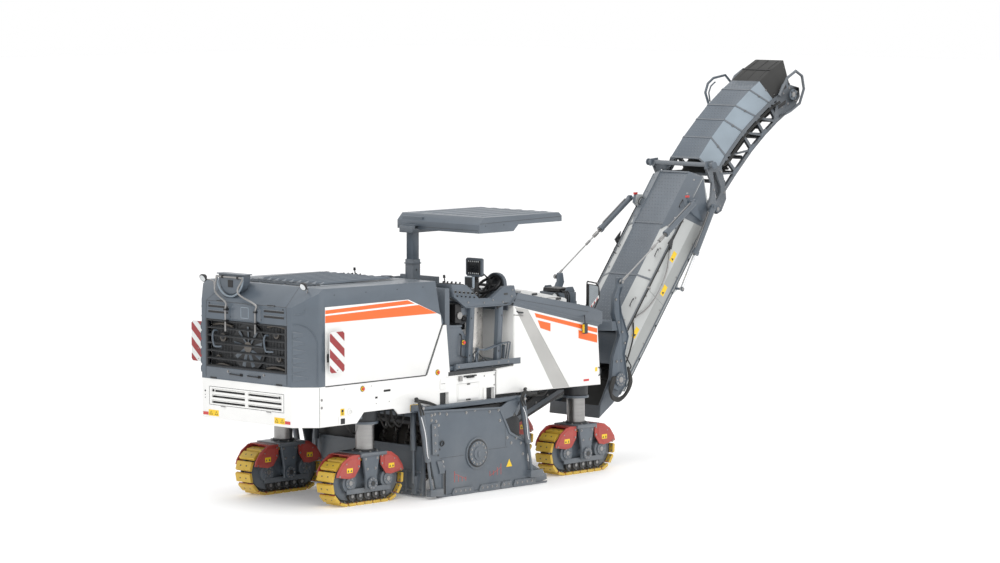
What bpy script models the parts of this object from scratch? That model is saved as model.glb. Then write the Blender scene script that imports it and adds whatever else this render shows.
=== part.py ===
"""Cold planer milling machine on four tracks, with a folding discharge conveyor.

Metres, +Z up.  The frame inside this file has +X towards the conveyor end, +Y to the left, the
ground at z = 0 and x = 0 at the rear leg columns.  Everything hangs on one empty that puts the
machine's middle over the origin.
"""

import math

import bmesh
import bpy
from mathutils import Matrix, Vector

# ---------------------------------------------------------------- driving sizes (metres)
GAP = 0.0003                 # between pieces that touch
RUN = 0.006                  # between pieces that move past each other
FIT = 0.0008                 # between a pin or rod and its bore
WALL = 0.03                  # panels and covers

BODY_HALF = 1.16             # half width of the body panels
REAR_X = -1.455              # rear face
REAR_FLAT_HALF = 0.90        # half width of the flat rear face, between the chamfers
REAR_CHAMFER_X = -1.19       # where the rear chamfers meet the sides

PANEL_LOW_Z = 1.17           # lower white band
PANEL_TOP_Z = 1.72
HOOD_LOW_Z = PANEL_TOP_Z + GAP
HOOD_TOP_Z = 3.05
HOOD_REAR_Z = 2.80           # top of the flat rear face
HOOD_FRONT_X = 1.203         # foremost point of the hood side
HOOD_SIDE_X = -1.072         # rear edge of the white hood side

REAR_LEG_X = 0.0
FRONT_LEG_X = 4.29
LEG_Y = 0.82
COLUMN_R = 0.13
SLEEVE_R = 0.175
SLEEVE_LOW_Z = 1.10
TRACK_LENGTH = 1.38
TRACK_HEIGHT = 0.655
TRACK_WIDTH = 0.30
SHOE_PITCH = 0.154
SHOE_DEPTH = 0.045
TRAIL = 0.09                 # the rear tracks sit this far behind their columns

DRUM_X, DRUM_Z = 1.76, 0.56
DRUM_R = 0.40                # barrel of the milling drum, without its tools
AXLE_R = 0.09
DRUM_LEFT_Y = 0.33
DRUM_RIGHT_Y = -1.15

PLATE_IN = 1.235             # inner face of the side plates
PLATE_THICK = 0.03
ROD_R = 0.022                # rods of the side plates, scraper and stays
PLATE_TILT = math.radians(10.5)
PLATE_LIFT = 0.30
SCRAPER_X = 0.84
SCRAPER_LIFT = 0.30

DOOR_THICK = 0.02
DECK_Z = 1.80                # operator's floor
DECK_REAR_X, DECK_FRONT_X = 1.345, 2.60
CONSOLE_TOP_Z = 2.93

CANOPY_X, CANOPY_Y = (1.93, 3.63), (-1.15, 0.48)
CANOPY_TOP_Z, CANOPY_LOW_Z = 3.85, 3.63
POST_X, POST_Y = 1.95, 0.19
POST_HALF = 0.075
CANOPY_DROP = 0.35

FRONT_REAR_X, FRONT_NOSE_X = 2.26, 4.45
FRONT_LOW_Z = 1.31

SWIVEL_X = 5.03              # conveyor slews about this upright axis
LIFT_X, LIFT_Z = 5.47, 1.245
FOLD_X, FOLD_Z = 7.73, 3.66
SWIVEL_PIN_R = 0.03
LIFT_PIN_R = 0.04
FOLD_PIN_R = 0.02
EYE_PIN_R = 0.018
EYE_HALF = 0.015             # half width of a rod eye, which lies against the end of its pin
STAY_PIN_R = 0.022
FOLD_ROD_R = 0.025
YOKE_IN, YOKE_OUT = 0.565, 0.615
BELT_HALF = 0.42             # inside half width of the conveyor trough
SIDE_HALF = 0.50             # outer half width of the conveyor
COVER_HALF = 0.28            # half width of the flat top of its cover
STAY_Y = 0.66
STAY_TOP = (7.10, 3.80)
STAY_EYE = (5.45, 2.70)
FOLD_CYL_Y = 0.605
FOLD_LUG = (7.575, 3.70)     # top of the fold cylinders, on the upper section
FOLD_FOOT = (6.86, 2.50)     # their rod eyes, on the lower section

HEAD_X = 9.8216              # foremost point, on the head guard
MIDDLE_X = (REAR_X + HEAD_X) / 2

SMOOTH = math.radians(40)

# ---------------------------------------------------------------- materials
PAINT = {
    "slate": ((0.135, 0.175, 0.21), 0.42, 0.0),
    "dark": ((0.035, 0.042, 0.05), 0.55, 0.0),
    "white": ((0.86, 0.86, 0.85), 0.35, 0.0),
    "steel": ((0.30, 0.31, 0.32), 0.35, 0.9),
    "chrome": ((0.75, 0.76, 0.78), 0.12, 1.0),
    "red": ((0.56, 0.09, 0.075), 0.45, 0.0),
    "yellow": ((0.80, 0.56, 0.02), 0.55, 0.0),
    "silver": ((0.58, 0.60, 0.60), 0.38, 0.2),
    "rubber": ((0.04, 0.04, 0.038), 0.75, 0.0),
    "seat": ((0.05, 0.055, 0.06), 0.7, 0.0),
}


def paint(name):
    """A Principled material with the colour, roughness and metallic value of that finish."""
    made = bpy.data.materials.get(name)
    if made:
        return made
    made = bpy.data.materials.new(name)
    made.use_nodes = True
    colour, rough, metal = PAINT[name]
    shader = made.node_tree.nodes["Principled BSDF"]
    shader.inputs["Base Color"].default_value = (*colour, 1)
    shader.inputs["Roughness"].default_value = rough
    shader.inputs["Metallic"].default_value = metal
    made.diffuse_color = (*colour, 1)
    return made


# ---------------------------------------------------------------- solids
def shell(points, faces):
    """A closed bmesh from points and faces, its normals out."""
    bm = bmesh.new()
    made = [bm.verts.new(p) for p in points]
    for face in faces:
        bm.faces.new([made[i] for i in face])
    bmesh.ops.recalc_face_normals(bm, faces=bm.faces)
    return bm


def extruded(outline, low, high, place):
    """The outline between two heights; place turns (a, b, height) into a point."""
    n = len(outline)
    points = [place(a, b, low) for a, b in outline] + [place(a, b, high) for a, b in outline]
    faces = [list(range(n)), list(range(2 * n - 1, n - 1, -1))]
    faces += [[i, (i + 1) % n, n + (i + 1) % n, n + i] for i in range(n)]
    return shell(points, faces)


def prism(outline, y0, y1):
    """An outline of (x, z) points between two sides."""
    return extruded(outline, y0, y1, lambda a, b, h: (a, h, b))


def slab(outline, z0, z1):
    """An outline of (x, y) points between two heights."""
    return extruded(outline, z0, z1, lambda a, b, h: (a, b, h))


def gate(outline, x0, x1):
    """An outline of (y, z) points between two stations along the machine."""
    return extruded(outline, x0, x1, lambda a, b, h: (h, a, b))


def box(x0, x1, y0, y1, z0, z1):
    return slab([(x0, y0), (x1, y0), (x1, y1), (x0, y1)], z0, z1)


def rod(start, end, radius, sides=16, radius2=None):
    """A cylinder, or a cone, between two points."""
    a, b = Vector(start), Vector(end)
    bm = bmesh.new()
    bmesh.ops.create_cone(bm, cap_ends=True, segments=sides, radius1=radius,
                          radius2=radius if radius2 is None else radius2, depth=(b - a).length)
    turn = Vector((0, 0, 1)).rotation_difference(b - a).to_matrix().to_4x4()
    bmesh.ops.transform(bm, matrix=Matrix.Translation((a + b) / 2) @ turn, verts=bm.verts)
    return bm


def pin_hole(start, end, radius, sides):
    """A hole that a pin of this radius and number of sides can turn in."""
    return rod(start, end, (radius + FIT) / math.cos(math.pi / sides), sides)


def pipe(points, radius, sides=10):
    """A round bar bent along the points, mitred at each."""
    path = [Vector(p) for p in points]
    along = [(b - a).normalized() for a, b in zip(path, path[1:])]
    tangents = [along[0]] + [(a + b).normalized() for a, b in zip(along, along[1:])] + [along[-1]]
    side = along[0].orthogonal().normalized()
    rings = []
    for i, (point, tangent) in enumerate(zip(path, tangents)):
        leg = along[max(i - 1, 0)]
        side = (side - leg * side.dot(leg)).normalized()
        up = leg.cross(side)
        ring = []
        for k in range(sides):
            turn = 2 * math.pi * k / sides
            spoke = side * math.cos(turn) * radius + up * math.sin(turn) * radius
            ring.append(point + spoke - leg * (spoke.dot(tangent) / leg.dot(tangent)))
        rings.append(ring)
    n = len(rings)
    faces = [list(range(sides)), [(n - 1) * sides + k for k in reversed(range(sides))]]
    for i in range(n - 1):
        for k in range(sides):
            j = (k + 1) % sides
            faces.append([i * sides + k, i * sides + j, (i + 1) * sides + j, (i + 1) * sides + k])
    return shell([p for ring in rings for p in ring], faces)


def arc(cx, cz, radius, start, end, steps):
    """Points of an arc in degrees, both ends included."""
    turns = [math.radians(start + (end - start) * i / steps) for i in range(steps + 1)]
    return [(cx + radius * math.cos(t), cz + radius * math.sin(t)) for t in turns]


def grown(outline, by):
    """A closed outline moved outwards by a distance, or inwards by a negative one."""
    area = sum(a[0] * b[1] - b[0] * a[1] for a, b in zip(outline, outline[1:] + outline[:1]))
    sign = 1 if area > 0 else -1
    made = []
    for i, here in enumerate(outline):
        before, after = Vector(outline[i - 1]), Vector(outline[(i + 1) % len(outline)])
        here = Vector(here)
        d1, d2 = (here - before).normalized(), (after - here).normalized()
        n1, n2 = Vector((d1.y, -d1.x)) * sign, Vector((d2.y, -d2.x)) * sign
        made.append(tuple(here + (n1 + n2) * by / (1 + n1.dot(n2))))
    return made


# ---------------------------------------------------------------- objects
def start():
    for ob in list(bpy.data.objects):
        bpy.data.objects.remove(ob, do_unlink=True)
    base = bpy.data.objects.new("machine", None)
    bpy.context.collection.objects.link(base)
    base.location = (-MIDDLE_X, 0, 0)
    return base


BASE = start()


def axis_point(name, at, parent=None):
    """An empty on a joint's axis, which what turns or slides there is parented to."""
    empty = bpy.data.objects.new(name, None)
    bpy.context.collection.objects.link(empty)
    parent = parent or BASE
    empty.parent = parent
    held = Vector(parent.get("at", (0, 0, 0)))
    empty["at"] = at
    empty.location = Vector(at) - held
    return empty


def raw_object(name, bm):
    mesh = bpy.data.meshes.new(name)
    bm.to_mesh(mesh)
    bm.free()
    ob = bpy.data.objects.new(name, mesh)
    bpy.context.collection.objects.link(ob)
    return ob


def boolean(ob, other, operation):
    step = ob.modifiers.new(operation.title(), "BOOLEAN")
    step.object = other
    step.operation = operation
    step.solver = "EXACT"


def carved(base, steps):
    """A solid after a row of (tool, operation) steps."""
    ob = raw_object("carved", base)
    tools = []
    for bm, operation in steps:
        tools.append(raw_object("tool", bm))
        boolean(ob, tools[-1], operation)
    graph = bpy.context.evaluated_depsgraph_get()
    made = bmesh.new()
    made.from_mesh(bpy.data.meshes.new_from_object(ob.evaluated_get(graph)))
    for old in [ob] + tools:
        bpy.data.objects.remove(old, do_unlink=True)
    return made


def part(name, finish, solids, cuts=(), parent=None, keep=()):
    """One sub-part: the union of its solids, less the cuts, within what it keeps."""
    solids = list(solids)
    ob = raw_object(name, solids[0])
    tools = []
    for group, operation in ((solids[1:], "UNION"), (keep, "INTERSECT"), (cuts, "DIFFERENCE")):
        for bm in group:
            tool = raw_object("tool", bm)
            tools.append(tool)
            boolean(ob, tool, operation)
    if tools:
        graph = bpy.context.evaluated_depsgraph_get()
        made = bpy.data.meshes.new_from_object(ob.evaluated_get(graph))
        ob.modifiers.clear()
        ob.data = made
        for tool in tools:
            bpy.data.objects.remove(tool, do_unlink=True)
    parent = parent or BASE
    at = Vector(parent.get("at", (0, 0, 0)))
    ob.data.transform(Matrix.Translation(-at))
    ob.parent = parent
    ob.data.name = name
    ob.data.materials.clear()
    ob.data.materials.append(paint(finish))
    ob.data.shade_smooth()
    ob.data.set_sharp_from_angle(angle=SMOOTH)
    return ob


# ---------------------------------------------------------------- the body's outlines
def plan(inset=0.0, front=HOOD_FRONT_X):
    """Rear end of the body from above: flat rear, chamfered corners, straight sides."""
    half = BODY_HALF - inset
    flat = REAR_FLAT_HALF - 0.41 * inset
    rear = REAR_X + inset
    chamfer = REAR_CHAMFER_X + 0.41 * inset
    return [(front, -half), (front, half), (chamfer, half), (rear, flat), (rear, -flat), (chamfer, -half)]


def hood_outline(inset=0.0):
    """The hood from the side."""
    return [
        (REAR_X - 0.05, HOOD_LOW_Z), (0.867 + inset, HOOD_LOW_Z), (HOOD_FRONT_X, 2.44), (1.132, 2.595),
        (1.045, HOOD_TOP_Z - 0.03 - inset), (-1.11, HOOD_TOP_Z - inset),
        (REAR_X + inset, HOOD_REAR_Z - inset), (REAR_X - 0.05, HOOD_REAR_Z - inset),
    ]


WHITE_SIDE = [
    (HOOD_SIDE_X, HOOD_LOW_Z), (0.850, HOOD_LOW_Z), (1.170, 2.40), (1.150, 2.545), (0.52, 2.80),
    (HOOD_SIDE_X, 2.80),
]
GRILLE = [(-0.81, 1.89), (0.81, 1.89), (0.81, 2.55), (-0.81, 2.55)]


# ---------------------------------------------------------------- chassis
def chassis():
    """Two long beams, the cross members and the sleeves that hold the four legs."""
    beams = []
    for side in (-1, 1):
        y = sorted((side * 0.50, side * 0.62))
        beams.append(box(REAR_X + WALL + GAP, 4.60, *y, 1.20, 1.62))
    wide = BODY_HALF - WALL - GAP
    cross = [
        box(-1.20, -1.10, -0.55, 0.55, 1.20, 1.60),
        box(-0.22, 0.22, -wide, wide, 1.32, 1.62),
        box(0.70, 0.80, -wide, wide, 1.28, 1.62),
        box(FRONT_LEG_X - 0.22, FRONT_LEG_X + 0.14, -1.00, 1.00, 1.46, 1.62),
        box(3.00, 3.10, -1.05, 1.05, 1.34, 1.62),
        box(4.52, 4.60, -0.62, 0.62, 1.66, 2.42),
        box(4.523, 4.597, -0.617, -0.503, 1.203, 1.70),
        box(4.523, 4.597, 0.503, 0.617, 1.203, 1.70),
    ]
    sleeves = []
    for x in (REAR_LEG_X, FRONT_LEG_X):
        for side in (-1, 1):
            sleeves.append(rod((x, side * LEG_Y, SLEEVE_LOW_Z), (x, side * LEG_Y, 1.66), SLEEVE_R, 20))
    brackets = []
    for z in (1.72, 2.34):
        brackets.append(slab([(4.55, -0.30), (4.98, -0.10), (SWIVEL_X + 0.10, -0.06),
                              (SWIVEL_X + 0.10, 0.06), (4.98, 0.10), (4.55, 0.30)], z, z + 0.06))
    bores = []
    for x in (REAR_LEG_X, FRONT_LEG_X):
        for side in (-1, 1):
            low, high = (x, side * LEG_Y, SLEEVE_LOW_Z - 0.1), (x, side * LEG_Y, 1.60)
            bores.append(pin_hole(low, high, COLUMN_R, 40))
    bores.append(pin_hole((SWIVEL_X, 0, 1.1), (SWIVEL_X, 0, 2.6), SWIVEL_PIN_R, 20))
    part("chassis_frame", "dark", beams + cross + sleeves + brackets, bores)


def rear_body():
    slots = []
    for row in range(3):
        z = 1.385 + row * 0.078
        for y0, y1 in ((-0.70, -0.03), (0.03, 0.70)):
            slots.append(box(REAR_X - 0.1, REAR_X + 0.1, y0, y1, z, z + 0.045))
    outer = slab(plan(front=-1.18), PANEL_LOW_Z, PANEL_TOP_Z)
    slots.append(slab(plan(WALL, front=-1.0), PANEL_LOW_Z - 0.1, PANEL_TOP_Z + 0.1))
    part("rear_panel", "white", [outer], slots)
    band = [
        (-1.18 + GAP, PANEL_LOW_Z), (-0.48, PANEL_LOW_Z), (-0.345, 1.31), (0.238, 1.31), (0.325, 1.225),
        (2.24, 1.225), (2.24, 1.665), (1.337, 1.665), (1.262, 2.40), (1.205, 2.40), (0.885, PANEL_TOP_Z),
        (-1.18 + GAP, PANEL_TOP_Z),
    ]
    case = [(1.00, 1.225), (2.24, 1.225), (2.24, 1.665), (1.337, 1.665), (1.10, 1.60), (1.00, 1.30)]
    for name, side in (("right", -1), ("left", 1)):
        y = sorted((side * (BODY_HALF - WALL), side * BODY_HALF))
        deep = sorted((side * (BODY_HALF - 0.10), side * (BODY_HALF - 0.01)))
        out_y = sorted((side * (BODY_HALF - 0.06), side * (BODY_HALF + 0.05)))
        recess = [box(1.126, 1.297, *out_y, 1.27, 1.453), box(2.058, 2.215, *out_y, 1.25, 1.449)]
        if side < 0:
            recess.append(box(1.4697, 1.9183, -BODY_HALF - 0.05, -BODY_HALF + DOOR_THICK - 0.002 + GAP,
                              1.3017, 1.5463))
        part("side_panel_" + name, "white", [prism(band, *y), prism(case, *deep)], recess)
    part("engine_block", "dark", [
        box(-1.05, 0.85, -0.45, 0.45, 1.62 + GAP, 2.30), box(-0.6, 0.5, -0.30, 0.30, 2.2, 2.62),
        box(-1.36, -1.02, -0.80, 0.80, 1.78, 2.62)])


# ---------------------------------------------------------------- hood
def hood():
    pin = axis_point("hood_hinge", (1.06, 0, HOOD_TOP_Z))
    hole = carved(prism(hood_outline(WALL), -BODY_HALF + WALL, BODY_HALF - WALL),
                  [(slab(plan(WALL, front=2.0), 1.0, 3.6), "INTERSECT")])
    front = prism([(0.80, 1.6), (1.20, 2.44), (1.00, HOOD_TOP_Z - 0.07), (1.4, HOOD_TOP_Z - 0.07),
                   (1.4, 1.6)], -BODY_HALF + WALL, BODY_HALF - WALL)
    cuts = [hole, front]
    for side in (-1, 1):
        y = sorted((side * (BODY_HALF - WALL - 0.01), side * (BODY_HALF + 0.02)))
        cut = [(a, b - 0.05 if b == HOOD_LOW_Z else b) for a, b in grown(WHITE_SIDE, GAP)]
        cuts.append(prism(cut, *y))
    cuts.append(gate(GRILLE, REAR_X - 0.1, REAR_X + 0.1))
    cuts.append(slab(plan(WALL, front=2.0), HOOD_LOW_Z - 0.2, HOOD_LOW_Z + 0.02))
    part("hood_shell", "slate", [prism(hood_outline(), -BODY_HALF, BODY_HALF)], cuts, pin,
         keep=[slab(plan(front=2.0), 1.0, 3.6)])
    for name, side in (("right", -1), ("left", 1)):
        y = sorted((side * (BODY_HALF - WALL), side * BODY_HALF))
        part("hood_side_" + name, "white", [prism(WHITE_SIDE, *y)], (), pin)
    frame = gate(grown(GRILLE, -GAP), REAR_X + 0.004, REAR_X + WALL)
    slots = []
    for i in range(6):
        z = 1.915 + i * 0.105
        slots.append(box(REAR_X - 0.1, REAR_X + 0.1, -0.785, 0.785, z, z + 0.086))
    part("hood_grille", "dark", [frame], slots, pin)
    cy, cz, r = 0.40, 3.13, 0.25
    face = [(cy + a, cz + b) for a, b in arc(0, 0, r, 180, 360, 14)]
    x0 = -1.36
    unit = gate(face + [(cy + r, cz + 0.04), (cy - r, cz + 0.04)], x0, x0 + 0.13)
    slope = (HOOD_TOP_Z - HOOD_REAR_Z) / (-1.11 - REAR_X)
    top = [(x, HOOD_REAR_Z + (x - REAR_X) * slope + GAP) for x in (REAR_X - 0.3, -1.11)]
    below = prism(top + [(-1.11, 2.5), (REAR_X - 0.3, 2.2)], -1, 1)
    feet = box(x0 + 0.02, -1.12, cy - 0.12, cy + 0.12, 2.84, 3.15)
    part("hood_air_unit", "slate", [unit, feet], [below], pin)


# ---------------------------------------------------------------- legs and tracks
def track_outline(cx):
    """Outer line of the track: a rounded loop with one step for each shoe."""
    r = TRACK_HEIGHT / 2 - SHOE_DEPTH
    half = TRACK_LENGTH / 2 - SHOE_DEPTH - r
    straight, turn = 2 * half, math.pi * r
    total = 2 * (straight + turn)
    count = round(total / SHOE_PITCH)
    cz = TRACK_HEIGHT / 2

    def at(s, out):
        s %= total
        if s < straight:
            return cx - half + s, cz - r - out
        s -= straight
        if s < turn:
            t = -math.pi / 2 + s / r
            return cx + half + (r + out) * math.cos(t), cz + (r + out) * math.sin(t)
        s -= turn
        if s < straight:
            return cx + half - s, cz + r + out
        t = math.pi / 2 + (s - straight) / r
        return cx - half + (r + out) * math.cos(t), cz + (r + out) * math.sin(t)

    made = []
    pitch = total / count
    for i in range(count):
        s = i * pitch
        for share, out in ((0.04, 0.012), (0.10, SHOE_DEPTH), (0.90, SHOE_DEPTH), (0.96, 0.012)):
            made.append(at(s + share * pitch, out))
    return made


def loop_outline(cx, inset, steps=10):
    """A plain rounded loop inside the shoes."""
    r = TRACK_HEIGHT / 2 - SHOE_DEPTH - inset
    half = TRACK_LENGTH / 2 - TRACK_HEIGHT / 2
    cz = TRACK_HEIGHT / 2
    return arc(cx + half, cz, r, -90, 90, steps) + arc(cx - half, cz, r, 90, 270, steps)


def leg(name, x, side):
    """Steered leg: the column, its head and fork, the roller frame, the track and two guards."""
    y = side * LEG_Y
    cx = x - TRAIL if x == REAR_LEG_X else x - 0.01
    pin = axis_point("steer_" + name, (x, y, 0))
    half = TRACK_WIDTH / 2
    cz = TRACK_HEIGHT / 2
    part("track_" + name, "yellow", [prism(track_outline(cx), y - half, y + half)],
         [prism(loop_outline(cx, 0.035), y - 1, y + 1)], pin)
    column = rod((x, y, 0.70), (x, y, 1.58), COLUMN_R, 40)
    head = box(min(cx, x) - 0.20, max(cx, x) + 0.20, y - 0.235, y + 0.235, 0.672, 0.722)
    cheeks = []
    for out in (-1, 1):
        ya = y + out * (half + 0.03)
        yb = y + out * (half + 0.075)
        outline = [(cx - 0.16, 0.70), (cx + 0.16, 0.70), (cx + 0.10, 0.40), (cx + 0.09, 0.22),
                   (cx - 0.09, 0.22), (cx - 0.10, 0.40)]
        cheeks.append(prism(outline, min(ya, yb), max(ya, yb)))
    frame = prism(loop_outline(cx, 0.035 + GAP), y - half + 0.05, y + half - 0.05)
    hub = rod((cx, y - half - 0.09, cz - 0.03), (cx, y + half + 0.09, cz - 0.03), 0.075, 16)
    drive = [rod((cx + e * (TRACK_LENGTH / 2 - cz), y - half - 0.015, cz),
                 (cx + e * (TRACK_LENGTH / 2 - cz), y + half + 0.015, cz), 0.13, 16) for e in (-1, 1)]
    part("leg_" + name, "slate", [head, column] + cheeks + [hub, frame] + drive, (), pin)
    reach = half + 0.055
    guards = []
    for e in (-1, 1):
        guards.append(box(*sorted((cx + e * 0.175, cx + e * 0.36)), y - reach, y + reach, 0.694, 0.708))
        flap = [(cx + e * 0.19, 0.70), (cx + e * 0.40, 0.70), (cx + e * 0.53, 0.62), (cx + e * 0.62, 0.50),
                (cx + e * 0.64, 0.43), (cx + e * 0.40, 0.39), (cx + e * 0.30, 0.41), (cx + e * 0.20, 0.54)]
        for out in (-1, 1):
            ya, yb = y + out * (half + 0.035), y + out * reach
            guards.append(prism(flap, min(ya, yb), max(ya, yb)))
    strap = box(cx - 0.31, cx + 0.31, y - 0.10, y + 0.10, 0.660, 0.7)
    guards = [strap] + guards
    saddle = [box(min(cx, x) - 0.2003, max(cx, x) + 0.2003, y - 0.2353, y + 0.2353, 0.6715, 0.8)]
    wide = [prism([(cx - 0.165, 0.72), (cx + 0.165, 0.72), (cx + 0.11, 0.2), (cx - 0.11, 0.2)],
                  y - 0.3, y - half - 0.02),
            prism([(cx - 0.165, 0.72), (cx + 0.165, 0.72), (cx + 0.11, 0.2), (cx - 0.11, 0.2)],
                  y + half + 0.02, y + 0.3)]
    part("guard_" + name, "red", guards, saddle + wide, pin)
    return pin


# ---------------------------------------------------------------- milling unit
def side_plate_outline():
    return [
        (0.68, 1.246), (0.70, 1.10), (0.98, 0.003), (2.985, 0.003), (3.20, 0.05), (3.20, 0.11),
        (2.80, 0.353), (2.80, 0.646), (2.42, 0.80), (2.25, 1.17),
    ]


def milling_unit():
    shaft = DRUM_RIGHT_Y - 0.035
    pin = axis_point("drum_axis", (DRUM_X, 0, DRUM_Z))
    barrel = rod((DRUM_X, DRUM_RIGHT_Y + 0.02, DRUM_Z), (DRUM_X, DRUM_LEFT_Y - 0.02, DRUM_Z), DRUM_R, 32)
    axle = rod((DRUM_X, shaft, DRUM_Z), (DRUM_X, DRUM_LEFT_Y + 0.05, DRUM_Z), AXLE_R, 32)
    part("milling_drum", "steel", [barrel, axle], (), pin)

    # The housing is an arched trough, open below, with a cheek at each end that carries the drum.
    outer = [(SCRAPER_X + 0.06, 0.42), (SCRAPER_X + 0.06, 1.05), (1.20, 1.20 - GAP), (2.45, 1.20 - GAP), (2.72, 0.95),
             (2.72, 0.30)]
    inner = [(SCRAPER_X + 0.10, 0.30), (SCRAPER_X + 0.10, 1.03), (1.22, 1.15), (2.43, 1.15), (2.68, 0.93),
             (2.68, 0.1)]
    hood_box = prism(outer, DRUM_RIGHT_Y - 0.03, BODY_HALF)
    hollow = prism(inner, DRUM_RIGHT_Y, DRUM_LEFT_Y)
    gearcase = prism(inner, DRUM_LEFT_Y + 0.04, BODY_HALF - 0.04)
    hole = pin_hole((DRUM_X, -1.3, DRUM_Z), (DRUM_X, DRUM_LEFT_Y + 0.1, DRUM_Z), AXLE_R, 32)
    mouth = box(2.6, 2.8, -0.95, DRUM_LEFT_Y - 0.05, 0.35, 0.90)
    rear = box(SCRAPER_X, SCRAPER_X + 0.12, DRUM_RIGHT_Y + 0.02, DRUM_LEFT_Y - 0.02, 0.3, 1.0)
    bottom = prism([(SCRAPER_X + 0.10, 0.1), (SCRAPER_X + 0.10, 0.425), (2.68, 0.31), (2.68, 0.1)],
                   DRUM_RIGHT_Y, BODY_HALF - 0.04)
    part("drum_housing", "dark", [hood_box], [hollow, gearcase, hole, mouth, rear, bottom])

    # Right and left plates slide on the line of their slanted cylinders.
    lean = math.tan(PLATE_TILT)
    for name, side in (("right", -1), ("left", 1)):
        pin = axis_point("plate_" + name, (DRUM_X, side * PLATE_IN, 0))
        y = sorted((side * PLATE_IN, side * (PLATE_IN + PLATE_THICK)))
        slot = box(1.095, 1.12, -1.4, 1.4, 0.05, 0.36)
        plate = prism(side_plate_outline(), *y)
        lugs = []
        for top_x, top_z, low_z in ((0.60, 1.30, 0.14), (2.64, 1.26, 0.22)):
            foot = (top_x + (top_z - low_z) * lean, low_z)
            lug_y = sorted((side * (PLATE_IN + 0.02), side * (PLATE_IN + 0.115)))
            lugs.append(box(foot[0] - 0.05, foot[0] + 0.20, *lug_y, low_z - 0.10, low_z))
            cy = side * (PLATE_IN + 0.075)
            stem = 0.56
            lugs.append(rod((foot[0] + 0.02 * lean, cy, foot[1] - 0.02),
                            (foot[0] - stem * lean, cy, foot[1] + stem), ROD_R, 12))
        part("side_plate_" + name, "slate", [plate] + lugs, [slot], pin)
        barrels = []
        for top_x, top_z, low_z in ((0.60, 1.30, 0.14), (2.64, 1.26, 0.22)):
            cy = side * (PLATE_IN + 0.075)
            begin = low_z + 0.40
            a = (top_x + (top_z - begin) * lean, cy, begin)
            b = (top_x + 0.02 * lean, cy, top_z - 0.02)
            barrels.append((a, b))
        inner_y, outer_y = side * (BODY_HALF + GAP), side * (PLATE_IN - RUN)
        solids = [box(0.55, 2.70, *sorted((inner_y, outer_y)), 1.232, 1.292)]
        bores = []
        for a, b in barrels:
            solids.append(rod(a, b, 0.045, 16))
            bores.append(rod(Vector(a) - (Vector(b) - Vector(a)) * 0.1,
                             Vector(b) - (Vector(b) - Vector(a)) * 0.10, ROD_R + FIT, 12))
            arm_y = sorted((inner_y, side * (PLATE_IN + 0.075)))
            solids.append(box(b[0] - 0.05, b[0] + 0.05, *arm_y, b[2] - 0.02, b[2] + 0.05))
        part("plate_cylinders_" + name, "slate", solids, bores)

    # The scraper closes the rear of the drum chamber and slides up on two cylinders.
    pin = axis_point("scraper_slide", (SCRAPER_X, 0, 0))
    blade = box(SCRAPER_X, SCRAPER_X + 0.05, -1.12, 1.12, 0.02, 0.72)
    ribs = [box(SCRAPER_X - 0.06, SCRAPER_X + 0.01, y - 0.03, y + 0.03, 0.05, 0.30) for y in (-0.98, 0, 0.98)]
    rods = [rod((SCRAPER_X - 0.055, y, 0.20), (SCRAPER_X - 0.055, y, 0.82), ROD_R, 12) for y in (-0.98, 0.98)]
    part("scraper", "slate", [blade] + ribs + rods, (), pin)
    x = SCRAPER_X - 0.055
    solids = [box(x - 0.03, x + 0.03, -1.02, 1.02, 1.13, 1.20 - GAP)]
    bores = []
    for y in (-0.98, 0.98):
        solids.append(rod((x, y, 0.66), (x, y, 1.185), 0.042, 16))
        bores.append(rod((x, y, 0.5), (x, y, 1.17), ROD_R + FIT, 12))
    part("scraper_cylinders", "slate", solids, bores)


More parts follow.
